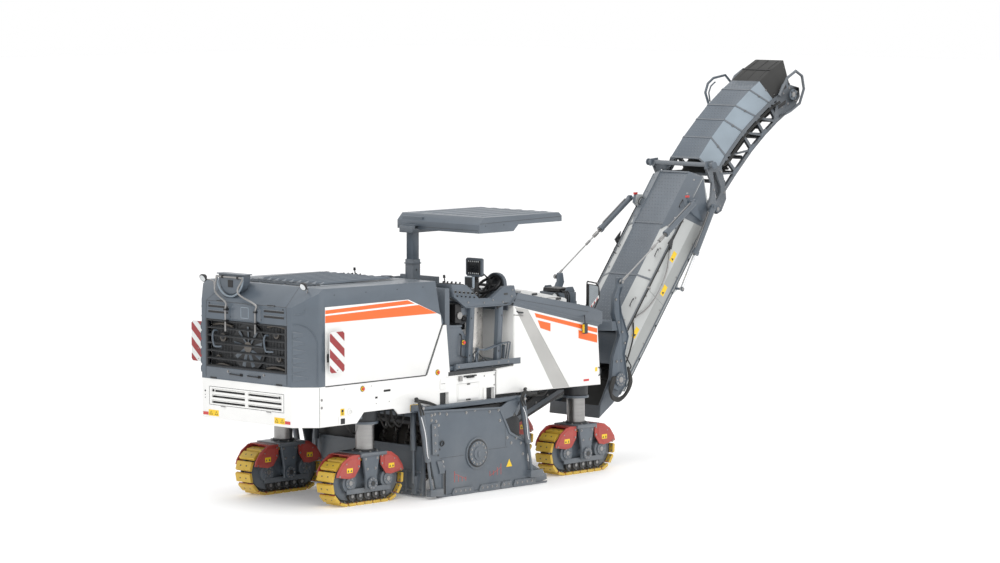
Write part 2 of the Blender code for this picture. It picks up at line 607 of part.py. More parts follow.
# ---------------------------------------------------------------- operator's platform
def platform():
    deck = box(DECK_REAR_X, DECK_FRONT_X, -1.12, 1.12, DECK_Z - 0.06, DECK_Z)
    sills = []
    for side in (-1, 1):
        y = sorted((side * 1.09, side * BODY_HALF))
        sills.append(box(1.435, 2.578, *y, 1.735, 1.812))
    wide = BODY_HALF - WALL - GAP
    rear = box(DECK_REAR_X - 0.08, DECK_REAR_X + 0.01, -wide, wide, 1.665 + GAP, 2.90)
    part("platform_deck", "slate", [deck, rear] + sills)
    hinge = axis_point("service_door_hinge", (1.694, -BODY_HALF - 0.002, 1.5463))
    door = box(1.473, 1.915, -BODY_HALF - 0.002, -BODY_HALF - 0.002 + DOOR_THICK, 1.305, 1.543)
    part("service_door", "white", [door], (), hinge)

    solids = [box(2.56, 2.60, -1.12, 1.12, 2.592, 2.64)]
    for side in (-1, 1):
        desk_y = sorted((side * 0.86, side * BODY_HALF))
        rim_y = sorted((side * 1.10, side * BODY_HALF))
        pillar_y = sorted((side * 1.08, side * 1.15))
        top = [(1.36, 2.955), (1.42, 2.77), (1.67, 2.60), (2.55, 2.585), (2.68, 2.70), (2.63, 2.86),
               (2.42, 2.86), (2.16, 2.71), (1.92, 2.72), (1.66, 2.93)]
        solids.append(prism([(1.36, 2.955), (1.42, 2.77), (1.90, 2.62), (1.92, 2.72), (1.66, 2.93)], *desk_y))
        solids.append(prism(top, *rim_y))
        for x in (1.70, 2.28):
            solids.append(prism([(x, DECK_Z + 0.0125), (x + 0.09, DECK_Z + 0.0125), (x + 0.14, 2.62),
                                 (x + 0.05, 2.62)], *pillar_y))
    part("consoles", "slate", solids)

    stand = [rod((2.42, -0.62, DECK_Z + GAP), (2.42, -0.62, 2.90), 0.035, 12)]
    stand.append(rod((2.42, -0.62, 2.60), (2.70, -0.62, 2.766), 0.03, 10))
    stand.append(rod((2.70, -0.62, 2.75), (2.65, -0.62, 2.84), 0.045, 12))
    stand.append(box(2.40, 2.44, -0.64, -0.60, 2.88, 3.02))
    stand.append(box(2.385, 2.425, -0.76, -0.46, 2.98, 3.22))
    bm = bmesh.new()
    bmesh.ops.create_cone(bm, cap_ends=True, segments=24, radius1=0.19, radius2=0.19, depth=0.03)
    hole = bmesh.new()
    bmesh.ops.create_cone(hole, cap_ends=True, segments=24, radius1=0.16, radius2=0.16, depth=0.1)
    lean_over = Matrix.Translation((2.655, -0.62, 2.83)) @ Matrix.Rotation(math.radians(-35), 4, "Y")
    bmesh.ops.transform(bm, matrix=lean_over, verts=bm.verts)
    bmesh.ops.transform(hole, matrix=lean_over, verts=hole.verts)
    spokes = []
    for reach_x, reach_y in ((0.17, 0.02), (0.02, 0.17)):
        spoke = box(-reach_x, reach_x, -reach_y, reach_y, -0.01, 0.01)
        bmesh.ops.transform(spoke, matrix=lean_over, verts=spoke.verts)
        spokes.append(spoke)
    part("control_stand", "dark", stand + [carved(bm, [(hole, "DIFFERENCE")])] + spokes)
    seats = [box(1.70, 1.76, -0.66, 0.66, DECK_Z + GAP, DECK_Z + 0.03)]
    for y in (-0.62, 0.62):
        seats += [box(1.52, 1.96, y - 0.22, y + 0.22, 2.26, 2.36),
                  prism([(1.50, 2.30), (1.60, 2.30), (1.52, 2.86), (1.44, 2.86)], y - 0.21, y + 0.21),
                  box(1.66, 1.80, y - 0.07, y + 0.07, DECK_Z + GAP, 2.30)]
    part("seats", "seat", seats)


def canopy():
    low = POST_X - POST_HALF, POST_X + POST_HALF, POST_Y - POST_HALF, POST_Y + POST_HALF
    outer = box(*low, DECK_Z + GAP, 3.20)
    bore = box(low[0] + 0.012, low[1] - 0.012, low[2] + 0.012, low[3] - 0.012, DECK_Z + 0.3, 3.4)
    part("canopy_post", "slate", [outer], [bore])
    pin = axis_point("canopy_slide", (POST_X, POST_Y, 3.2))
    g = 0.012 + FIT
    mast = box(low[0] + g, low[1] - g, low[2] + g, low[3] - g, 2.50, CANOPY_LOW_Z - 0.03)
    plate = box(POST_X - 0.14, POST_X + 0.40, POST_Y - 0.13, POST_Y + 0.13, CANOPY_LOW_Z - 0.045,
                CANOPY_LOW_Z + 0.05)
    part("canopy_mast", "slate", [mast, plate], (), pin)
    x0, x1 = CANOPY_X
    y0, y1 = CANOPY_Y
    side = [(x0, CANOPY_LOW_Z), (x0 + 0.70, CANOPY_LOW_Z), (x0 + 0.80, CANOPY_LOW_Z + 0.09),
            (x1, CANOPY_LOW_Z + 0.09), (x1, CANOPY_TOP_Z - 0.05), (x1 - 0.06, CANOPY_TOP_Z),
            (x0 + 0.10, CANOPY_TOP_Z), (x0, CANOPY_TOP_Z - 0.10)]
    roof = prism(side, y0, y1)
    hollow = box(x0 + 0.05, x1 - 0.05, y0 + 0.05, y1 - 0.05, CANOPY_LOW_Z - 0.1, CANOPY_TOP_Z - 0.06)
    seat = [box(POST_X - 0.1403, POST_X + 0.4003, POST_Y - 0.1303, POST_Y + 0.1303,
                CANOPY_LOW_Z - 0.1, CANOPY_LOW_Z + 0.0503)]
    pad = box(x0 + 0.01, POST_X + 0.45, POST_Y - 0.2, POST_Y + 0.2, CANOPY_LOW_Z + 0.02, CANOPY_TOP_Z - 0.04)
    part("canopy_roof", "slate", [carved(roof, [(hollow, "DIFFERENCE"), (pad, "UNION")])], seat, pin)


def front_body():
    outline = [
        (2.26, 1.336), (3.41, 1.32), (FRONT_NOSE_X, 1.301), (4.385, 2.15), (2.62, 2.571), (2.62, 1.72),
        (2.26, 1.70),
    ]
    half = BODY_HALF
    body = prism(outline, -half, half)
    leg_room = [rod((FRONT_LEG_X, s * LEG_Y, 1.0), (FRONT_LEG_X, s * LEG_Y, 1.6603), SLEEVE_R + GAP, 20)
                for s in (-1, 1)]
    beams = [box(2.0, 4.7, *sorted((s * 0.4997, s * 0.6203)), 1.1, 1.6203) for s in (-1, 1)]
    tunnel = prism([(2.2, 1.2), (2.2, 1.62), (3.2, 1.72), (4.7, 1.72), (4.7, 1.2)], -0.50, 0.50)
    crosses = [box(FRONT_LEG_X - 0.2203, FRONT_LEG_X + 0.20, -1.0003, 1.0003, 1.2, 1.6203),
               box(2.9997, 3.1003, -1.0503, 1.0503, 1.2, 1.6203)]
    nose = box(4.5197 - 0.14, 4.7, -0.6203, 0.6203, 1.1, 2.4)
    part("front_body", "white", [body], leg_room + beams + [tunnel] + crosses + [nose])
    strip = [(2.62, 2.571 + GAP), (4.3848, 2.1503 + GAP), (4.50, 2.20), (4.50, 2.36), (4.19, 2.461),
             (2.72, 2.75)]
    slot = box(4.37, 4.7, -0.6203, 0.6203, 1.1, 2.4203)
    unit = box(4.02, 4.26, -0.85, -0.35, 2.40, 2.64)
    part("front_cover", "slate", [prism(strip, -half + 0.01, half - 0.01), unit], [slot])


# ---------------------------------------------------------------- conveyors
def primary_conveyor():
    """The first belt's trough, from the drum chamber up to the discharge conveyor's hopper."""
    start_x = 2.72 + GAP
    body = prism([(start_x, 0.42), (3.10, 0.62), (4.92, 1.28), (4.92, 1.55), (3.05, 0.90), (start_x, 0.88)],
                 -0.44, 0.44)
    hollow = prism([(2.6, 0.46), (3.09, 0.655), (5.0, 1.347), (5.0, 1.544), (3.06, 0.868), (2.6, 0.85)],
                   -0.40, 0.40)
    hangers = []
    for x, low_z, high_z in ((3.02, 0.80, 1.34 - GAP), (4.30, 1.28, 1.46 - GAP)):
        for s in (-1, 1):
            hangers.append(box(x, x + 0.06, *sorted((s * 0.403, s * 0.437)), low_z, high_z))
    part("primary_conveyor", "dark", [body] + hangers, [hollow])


def along(s, lift):
    """A point on the lower section: s along its bottom rail, lift square to it."""
    base, tip = Vector((5.16, 0.44)), Vector((7.621, 3.604))
    d = (tip - base).normalized()
    n = Vector((-d.y, d.x))
    return tuple(base + d * s + n * lift)


LOWER_LENGTH = (Vector((7.621, 3.604)) - Vector((5.16, 0.44))).length
LOWER_DEPTH = 0.46           # side panel depth
COVER_END = 4.36             # where the cover ends, along the bottom rail
COVER_DEPTH = 0.57           # up to the flat of the cover


def yoke():
    """The slewing frame: an upright post on the swivel axis and an arm on each side."""
    pin = axis_point("conveyor_swivel", (SWIVEL_X, 0, LIFT_Z))
    post = rod((SWIVEL_X, 0, 1.78 + GAP), (SWIVEL_X, 0, 2.34 - GAP), 0.075, 16)
    pins = [rod((SWIVEL_X, 0, 1.69), (SWIVEL_X, 0, 2.44), SWIVEL_PIN_R, 20)]
    beam = slab([(SWIVEL_X - 0.03, -0.09), (5.30, -YOKE_OUT + 0.003), (5.45, -YOKE_OUT + 0.003),
                 (5.45, YOKE_OUT - 0.003), (5.30, YOKE_OUT - 0.003), (SWIVEL_X - 0.03, 0.09)], 1.98, 2.12)
    outline = [
        (5.41, 2.62), (5.33, 2.48), (5.33, 2.25), (5.45, 1.90), (5.31, 1.60), (5.27, 1.25), (5.33, 1.13),
        (5.47, 1.07), (5.60, 1.13), (5.63, 1.30), (5.57, 1.62), (5.66, 1.88), (5.50, 2.24), (5.46, 2.48),
        (5.53, 2.62), (5.50, 2.76), (5.42, 2.76),
    ]
    arms = [prism(outline, *sorted((s * YOKE_IN, s * YOKE_OUT))) for s in (-1, 1)]
    lugs = [rod((STAY_EYE[0], s * (YOKE_OUT - 0.01), STAY_EYE[1]),
                (STAY_EYE[0], s * (STAY_Y - EYE_HALF - GAP), STAY_EYE[1]), EYE_PIN_R, 16) for s in (-1, 1)]
    holes = [pin_hole((LIFT_X, -1, LIFT_Z), (LIFT_X, 1, LIFT_Z), LIFT_PIN_R, 20)]
    part("conveyor_yoke", "slate", [beam, post] + pins + arms + lugs, holes, pin)
    return pin


def lower_conveyor(yoke_pin):
    pin = axis_point("conveyor_lift", (LIFT_X, 0, LIFT_Z), yoke_pin)
    t = 0.03
    end = LOWER_LENGTH
    sides = []
    for s in (-1, 1):
        y = sorted((s * (SIDE_HALF - t), s * SIDE_HALF))
        outline = [(5.14, 0.69), (5.44, 0.88), (5.60, 1.00), along(end, 0.0), along(COVER_END, LOWER_DEPTH),
                   along(1.50, LOWER_DEPTH), along(1.05, 0.40), (5.33, 1.17), (5.16, 0.87)]
        sides.append(prism(outline, *y))
    floor = prism([(5.146, 0.6975), (5.44, 0.884), (5.598, 1.0035), along(end - 0.004, 0.003),
                   along(end - 0.004, 0.025), along(0.74, 0.025), (5.43, 0.905), (5.146, 0.722)],
                  -SIDE_HALF + 0.01, SIDE_HALF - 0.01)
    rails = [prism([along(0.80, -0.055), along(end - 0.002, -0.055), along(end - 0.002, 0.01), along(0.80, 0.01)],
                   *sorted((s * (SIDE_HALF - 0.055), s * (SIDE_HALF - 0.003)))) for s in (-1, 1)]
    tail = prism([(5.145, 0.70), (5.165, 0.86), (5.185, 0.86), (5.17, 0.70)],
                 -SIDE_HALF + 0.012, SIDE_HALF - 0.012)
    axle = [rod((LIFT_X, s * (SIDE_HALF - 0.02), LIFT_Z), (LIFT_X, s * (YOKE_OUT + 0.02), LIFT_Z), LIFT_PIN_R, 20)
            for s in (-1, 1)]
    bosses = [rod((LIFT_X, s * (SIDE_HALF - 0.01), LIFT_Z), (LIFT_X, s * (YOKE_IN - RUN), LIFT_Z), 0.12, 20)
              for s in (-1, 1)]
    arms = []
    for s in (-1, 1):
        y = sorted((s * (SIDE_HALF - 0.01), s * (SIDE_HALF + 0.045)))
        arms.append(prism([(7.30, 3.66), (7.42, 3.48), (7.20, 3.60), (7.03, 3.74), (7.06, 3.86), (7.17, 3.86),
                           (7.30, 3.84)], *y))
        arms.append(rod((STAY_TOP[0], s * (SIDE_HALF + 0.03), STAY_TOP[1]),
                        (STAY_TOP[0], s * (STAY_Y + 0.03), STAY_TOP[1]), STAY_PIN_R, 16))
    ears = []
    for s in (-1, 1):
        y = sorted((s * (SIDE_HALF - 0.048), s * (SIDE_HALF - 0.007)))
        ears.append(prism([along(end - 0.20, -0.02), along(end - 0.20, -0.06), (FOLD_X - 0.05, FOLD_Z - 0.05),
                           (FOLD_X + 0.045, FOLD_Z - 0.035), (FOLD_X + 0.04, FOLD_Z + 0.04),
                           along(end + 0.006, 0.036), along(end - 0.1, 0.034)], *y))
        foot = FOLD_FOOT
        ears.append(prism([along(2.45, 0.0), along(2.45, -0.04), (foot[0] - 0.02, foot[1] - 0.05),
                           (foot[0] + 0.04, foot[1] - 0.02), along(2.85, -0.03), along(2.85, 0.0)], *y))
    pins = [rod((FOLD_X, s * (SIDE_HALF - 0.06), FOLD_Z), (FOLD_X, s * (SIDE_HALF + 0.049), FOLD_Z), FOLD_PIN_R, 16)
            for s in (-1, 1)]
    stubs = [rod((FOLD_FOOT[0], s * (SIDE_HALF - 0.03), FOLD_FOOT[1]),
                 (FOLD_FOOT[0], s * (FOLD_CYL_Y - EYE_HALF - GAP), FOLD_FOOT[1]), EYE_PIN_R, 16) for s in (-1, 1)]
    part("conveyor_lower", "silver", [floor] + sides + rails + [tail] + axle + bosses + arms + ears + pins + stubs,
         (), pin)
    cover_s0 = 1.50
    edge = SIDE_HALF - 0.012
    section = [(-edge, LOWER_DEPTH + GAP), (edge, LOWER_DEPTH + GAP), (COVER_HALF, COVER_DEPTH),
               (-COVER_HALF, COVER_DEPTH)]
    inner = [(-SIDE_HALF + 0.04, LOWER_DEPTH - 0.1), (SIDE_HALF - 0.04, LOWER_DEPTH - 0.1),
             (SIDE_HALF - 0.04, LOWER_DEPTH + 0.01), (COVER_HALF - 0.01, COVER_DEPTH - 0.02),
             (-COVER_HALF + 0.01, COVER_DEPTH - 0.02), (-SIDE_HALF + 0.04, LOWER_DEPTH + 0.01)]

    def swept(outline, s0, s1):
        place = lambda a, b, h: (along(h, b)[0], a, along(h, b)[1])
        return extruded(outline, s0, s1, place)

    part("conveyor_cover_lower", "slate", [swept(section, cover_s0, COVER_END)],
         [swept(inner, cover_s0 - 0.5, COVER_END + 0.5)], pin)
    belt = prism([(5.22, 0.79), (5.42, 0.92), along(0.76, 0.07), along(end - 0.05, 0.07),
                  along(end - 0.05, 0.085), along(0.755, 0.085), (5.41, 0.935), (5.212, 0.803)],
                 -BELT_HALF, BELT_HALF)
    supports = [prism([along(a, 0.025 + GAP), along(a + 0.03, 0.025 + GAP), along(a + 0.03, 0.075), along(a, 0.075)],
                      -0.2, 0.2) for a in (0.8, 2.0, 3.2)]
    part("belt_lower", "rubber", [belt] + supports, (), pin)
    return pin


def upper_conveyor(lower_pin):
    pin = axis_point("conveyor_fold", (FOLD_X, 0, FOLD_Z), lower_pin)
    bottom = [(7.86, 3.79), (8.24, 4.165), (8.61, 4.50), (8.90, 4.72), (9.20, 4.92), (9.62, 5.15)]
    top = [(7.76, 4.20), (7.98, 4.46), (8.37, 4.81), (8.68, 5.03), (9.00, 5.23), (9.50, 5.50)]
    sides = []
    for s in (-1, 1):
        y = sorted((s * (SIDE_HALF - 0.05), s * SIDE_HALF))
        rail_low = bottom + [(a - 0.03, b + 0.05) for a, b in reversed(bottom)]
        rail_top = top + [(a + 0.03, b - 0.05) for a, b in reversed(top)]
        sides.append(prism(rail_low, *y))
        sides.append(prism(rail_top, *y))
        for i in range(5):
            a, b = bottom[i], top[i]
            c, d = bottom[i + 1], top[i + 1]
            sides.append(prism([(a[0] - 0.03, a[1] + 0.02), (a[0] + 0.02, a[1] + 0.04), (b[0] + 0.03, b[1] - 0.02),
                                (b[0] - 0.02, b[1] - 0.04)], *y))
            sides.append(prism([(c[0] - 0.05, c[1]), (c[0], c[1] + 0.03), (b[0] + 0.05, b[1]),
                                (b[0], b[1] - 0.03)], *y))
        head = [(9.10, 4.90), (9.62, 5.15), (9.74, 5.30), (9.72, 5.44), (9.50, 5.49), (9.20, 5.325)]
        sides.append(prism(head, *y))
    ties = []
    for (a, b) in (bottom[1], bottom[3]):
        ties.append(box(a - 0.03, a + 0.03, -SIDE_HALF + 0.02, SIDE_HALF - 0.02, b, b + 0.045))
    for (a, b) in (top[0], top[2], top[4]):
        ties.append(box(a, a + 0.04, -SIDE_HALF + 0.02, SIDE_HALF - 0.02, b - 0.05, b - 0.01))
    pulley = rod((9.56, -SIDE_HALF + 0.02, 5.34), (9.56, SIDE_HALF - 0.02, 5.34), 0.12, 20)
    skeleton = sides + ties + [pulley]

    ridge = [(7.61, 4.42), (7.90, 4.72), (8.20, 4.98), (8.46, 5.19), (8.80, 5.42), (9.14, 5.61)]
    edge = [(a, b + GAP) for a, b in top]

    def cover(name, finish, stations):
        points, faces = [], []
        for (ex, ez), (rx, rz) in stations:
            dx, dz = (rx - ex), (rz - ez)
            size = math.hypot(dx, dz)
            ux, uz = dx / size, dz / size
            w = 0.02
            rim = SIDE_HALF - 0.012
            points += [(ex, -rim, ez), (ex, rim, ez), (rx, COVER_HALF, rz), (rx, -COVER_HALF, rz)]
            points += [(ex, -SIDE_HALF + 0.04, ez), (ex, SIDE_HALF - 0.04, ez),
                       (rx - ux * w, COVER_HALF - 0.01, rz - uz * w), (rx - ux * w, -COVER_HALF + 0.01, rz - uz * w)]
        n = len(stations)
        for i in range(n - 1):
            a, b = i * 8, (i + 1) * 8
            faces += [[a + 1, b + 1, b + 2, a + 2], [a + 2, b + 2, b + 3, a + 3], [a + 3, b + 3, b, a]]
            faces += [[a + 5, a + 6, b + 6, b + 5], [a + 6, a + 7, b + 7, b + 6], [a + 7, a + 4, b + 4, b + 7]]
            faces += [[a, b, b + 4, a + 4], [a + 1, a + 5, b + 5, b + 1]]
        for a in (0, (n - 1) * 8):
            faces += [[a, a + 4, a + 7, a + 3], [a + 3, a + 7, a + 6, a + 2], [a + 2, a + 6, a + 5, a + 1]]
        part(name, finish, [shell(points, faces)], (), pin)

    def on_rail(x):
        """A point on the last stretch of the top rail."""
        return x, 5.23 + (x - 9.00) * 0.54 + GAP

    cover("conveyor_cover_upper", "slate", list(zip(edge[:5], ridge[:5])) + [(on_rail(9.10), (9.03, 5.55))])
    cover("head_hood", "rubber", [(on_rail(9.10 + GAP), (9.03 + GAP, 5.55)), (on_rail(9.36), (9.30, 5.72)),
                                  (on_rail(9.50), (9.60, 5.86))])
    belt = prism([(7.98, 4.13), (8.26, 4.42), (8.62, 4.73), (9.00, 4.98), (9.42, 5.20), (9.42, 5.215),
                  (9.00, 4.995), (8.61, 4.745), (8.25, 4.435), (7.97, 4.145)], -BELT_HALF, BELT_HALF)
    carriers = [rod((a, -SIDE_HALF + 0.0503, b), (a, SIDE_HALF - 0.0503, b), 0.02, 10)
                for a, b in ((8.10, 4.25), (8.80, 4.85))]
    part("belt_upper", "rubber", [belt] + carriers, (), pin)

    # Fold frame: a bent frame each side, joined by the cross tube over the cover.
    frames = []
    for s in (-1, 1):
        y = sorted((s * (SIDE_HALF + RUN), s * (SIDE_HALF + 0.045)))
        for x, z in ((7.875, 3.83), (7.79, 4.20)):
            frames.append(box(x - 0.03, x + 0.03, *sorted((s * (SIDE_HALF - 0.009), s * (SIDE_HALF + 0.02))),
                              z - 0.03, z + 0.03))
        frames.append(prism([(7.50, 4.36), (7.48, 4.28), (7.62, 4.05), (7.60, 3.85), (7.52, 3.72), (7.56, 3.64),
                             (7.74, 3.58), (7.84, 3.62), (7.95, 3.80), (7.92, 4.05), (7.84, 4.28), (7.60, 4.37)], *y))
    tube = rod((7.53, -0.66, 4.335), (7.53, 0.66, 4.335), 0.035, 14)
    holes = [pin_hole((FOLD_X, -1, FOLD_Z), (FOLD_X, 1, FOLD_Z), FOLD_PIN_R, 16)]
    window = [prism([(7.64, 4.22), (7.70, 4.22), (7.82, 4.00), (7.82, 3.90), (7.72, 3.78)],
                    *sorted((s * (SIDE_HALF + 0.002), s))) for s in (-1, 1)]
    lug = [rod((FOLD_LUG[0], s * (SIDE_HALF + 0.03), FOLD_LUG[1]),
               (FOLD_LUG[0], s * (FOLD_CYL_Y + 0.03), FOLD_LUG[1]), FOLD_PIN_R, 16) for s in (-1, 1)]
    for s in (-1, 1):
        y = s * (SIDE_HALF + 0.03)
        path = [(9.20, y, 5.33), (9.40, y, 5.60), (9.60, y, 5.70), (9.75, y, 5.62), (9.80, y, 5.42),
                (9.70, y, 5.20), (9.47, y, 5.085), (9.24, y, 5.013)]
        skeleton.append(pipe(path, 0.022, 8))
        for x, z in ((9.235, 5.345), (9.28, 5.025)):
            skeleton.append(box(x - 0.018, x + 0.018, *sorted((s * (SIDE_HALF - 0.009), y)), z - 0.018, z + 0.018))
    part("conveyor_upper", "slate", skeleton + [tube] + frames + lug, holes + window, pin)
    return pin


def stays(lower_pin):
    """Lift cylinder and rope on each side, held open at the rope's eye on the yoke."""
    top, eye = Vector(STAY_TOP), Vector(STAY_EYE)
    d = (eye - top).normalized()
    pins = [axis_point("stay_top", (STAY_TOP[0], 0, STAY_TOP[1]), lower_pin)]
    pins.append(axis_point("stay_rope", (STAY_TOP[0], 0, STAY_TOP[1]), pins[0]))
    for name, s in (("right", -1), ("left", 1)):
        y = s * STAY_Y

        def at(k):
            p = top + d * k
            return (p.x, y, p.y)

        ring = rod((STAY_TOP[0], y - 0.022, STAY_TOP[1]), (STAY_TOP[0], y + 0.022, STAY_TOP[1]), 0.045, 16)
        tube = rod(at(0.03), at(0.80), 0.045, 16)
        bore = rod(at(0.10), at(0.9), ROD_R + FIT, 14)
        hole = pin_hole((STAY_TOP[0], y - 0.1, STAY_TOP[1]), (STAY_TOP[0], y + 0.1, STAY_TOP[1]), STAY_PIN_R, 16)
        part("stay_cylinder_" + name, "slate", [tube, ring], [bore, hole], pins[0])
        bar = rod(at(0.17), at(0.92), ROD_R, 12)
        rope = rod(at(0.90), at((eye - top).length - 0.03), 0.011, 8)
        end = rod((eye.x, y - EYE_HALF, eye.y), (eye.x, y + EYE_HALF, eye.y), 0.034, 16)
        socket = rod(at(0.88), at(0.98), 0.03, 10)
        part("stay_rope_" + name, "chrome", [bar, rope, end, socket], (), pins[1])


def fold_cylinders(upper_pin):
    """Barrels pinned to the fold frame, rods that reach down to the lower section."""
    top, low = Vector(FOLD_LUG), Vector(FOLD_FOOT)
    d = (low - top).normalized()
    size = (low - top).length
    pins = [axis_point("fold_barrel", (top.x, 0, top.y), upper_pin)]
    pins.append(axis_point("fold_rod", (top.x, 0, top.y), pins[0]))
    for name, s in (("right", -1), ("left", 1)):
        y = s * FOLD_CYL_Y

        def at(k):
            p = top + d * k
            return (p.x, y, p.y)

        ring = rod((top.x, y - 0.022, top.y), (top.x, y + 0.022, top.y), 0.045, 16)
        tube = rod(at(0.03), at(0.80), 0.048, 16)
        bore = rod(at(0.12), at(0.9), FOLD_ROD_R + FIT, 14)
        hole = pin_hole((top.x, y - 0.1, top.y), (top.x, y + 0.1, top.y), FOLD_PIN_R, 16)
        part("fold_cylinder_" + name, "slate", [tube, ring], [bore, hole], pins[0])
        bar = rod(at(0.40), at(size - 0.02), FOLD_ROD_R, 12)
        end = rod((low.x, y - EYE_HALF, low.y), (low.x, y + EYE_HALF, low.y), 0.036, 16)
        part("fold_rod_" + name, "chrome", [bar, end], (), pins[1])


def build():
    chassis()
    rear_body()
    hood()
    for name, x, side in (("rear_right", REAR_LEG_X, -1), ("rear_left", REAR_LEG_X, 1),
                          ("front_right", FRONT_LEG_X, -1), ("front_left", FRONT_LEG_X, 1)):
        leg(name, x, side)
    milling_unit()
    platform()
    canopy()
    front_body()
    primary_conveyor()
    yoke_pin = yoke()
    lower_pin = lower_conveyor(yoke_pin)
    upper_pin = upper_conveyor(lower_pin)
    stays(lower_pin)
    fold_cylinders(upper_pin)


build()
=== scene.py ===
"""Looks of the cold planer milling machine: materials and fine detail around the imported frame.

Metres, +Z up.  Pieces are drawn in the machine's own stations (x = 0 at the rear leg columns,
+X to the conveyor, +Y left, ground at z = 0) and moved into the frame by SHIFT.
"""
import math

import bmesh
import bpy
from mathutils import Matrix, Vector


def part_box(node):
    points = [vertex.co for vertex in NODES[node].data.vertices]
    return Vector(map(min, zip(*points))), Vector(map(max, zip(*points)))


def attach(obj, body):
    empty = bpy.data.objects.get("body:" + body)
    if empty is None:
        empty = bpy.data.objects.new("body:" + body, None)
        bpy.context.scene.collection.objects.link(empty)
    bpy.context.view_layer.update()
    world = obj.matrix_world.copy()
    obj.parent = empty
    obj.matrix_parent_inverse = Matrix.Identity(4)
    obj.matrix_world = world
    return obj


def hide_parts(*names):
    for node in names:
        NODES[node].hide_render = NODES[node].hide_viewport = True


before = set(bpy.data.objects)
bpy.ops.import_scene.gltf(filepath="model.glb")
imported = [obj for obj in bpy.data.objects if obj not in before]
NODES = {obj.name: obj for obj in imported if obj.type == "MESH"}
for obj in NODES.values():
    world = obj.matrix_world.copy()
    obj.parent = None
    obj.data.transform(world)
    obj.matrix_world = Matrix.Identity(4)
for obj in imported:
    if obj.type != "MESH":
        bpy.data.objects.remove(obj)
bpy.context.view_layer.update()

REAR_X = -1.455                       # rear face, in machine stations
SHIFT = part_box("rear_panel")[0][0] - REAR_X
BODY = 1.16                           # half width of the body
SIDES = (("right", -1), ("left", 1))
ALONG, ACROSS, UP = (1, 0, 0), (0, 1, 0), (0, 0, 1)
SHARP, FINE_EDGE, EDGE, SOFT_EDGE = 0, 0.001, 0.0015, 0.002     # bevels of drawn edges
LIFT_X, LIFT_Z = 5.47, 1.245          # axis that the conveyor lifts about
SWIVEL_X = 5.03                       # upright axis that the conveyor swings about
LEGS = (("rear_right", 0.0, -0.82, 0.09), ("rear_left", 0.0, 0.82, 0.09),
        ("front_right", 4.29, -0.82, 0.01), ("front_left", 4.29, 0.82, 0.01))


def span(side, inner, outer):
    """Two distances from the middle, on the given side, low one first."""
    return sorted((side * inner, side * outer))


def around(count, radius):
    """Offsets of evenly spaced points on a circle, such as those of a ring of bolts."""
    for i in range(count):
        t = 2 * math.pi * i / count
        yield radius * math.cos(t), radius * math.sin(t)


# ---------------------------------------------------------------- materials
def node(tree, kind, **values):
    made = tree.nodes.new(kind)
    for key, value in values.items():
        setattr(made, key, value)
    return made


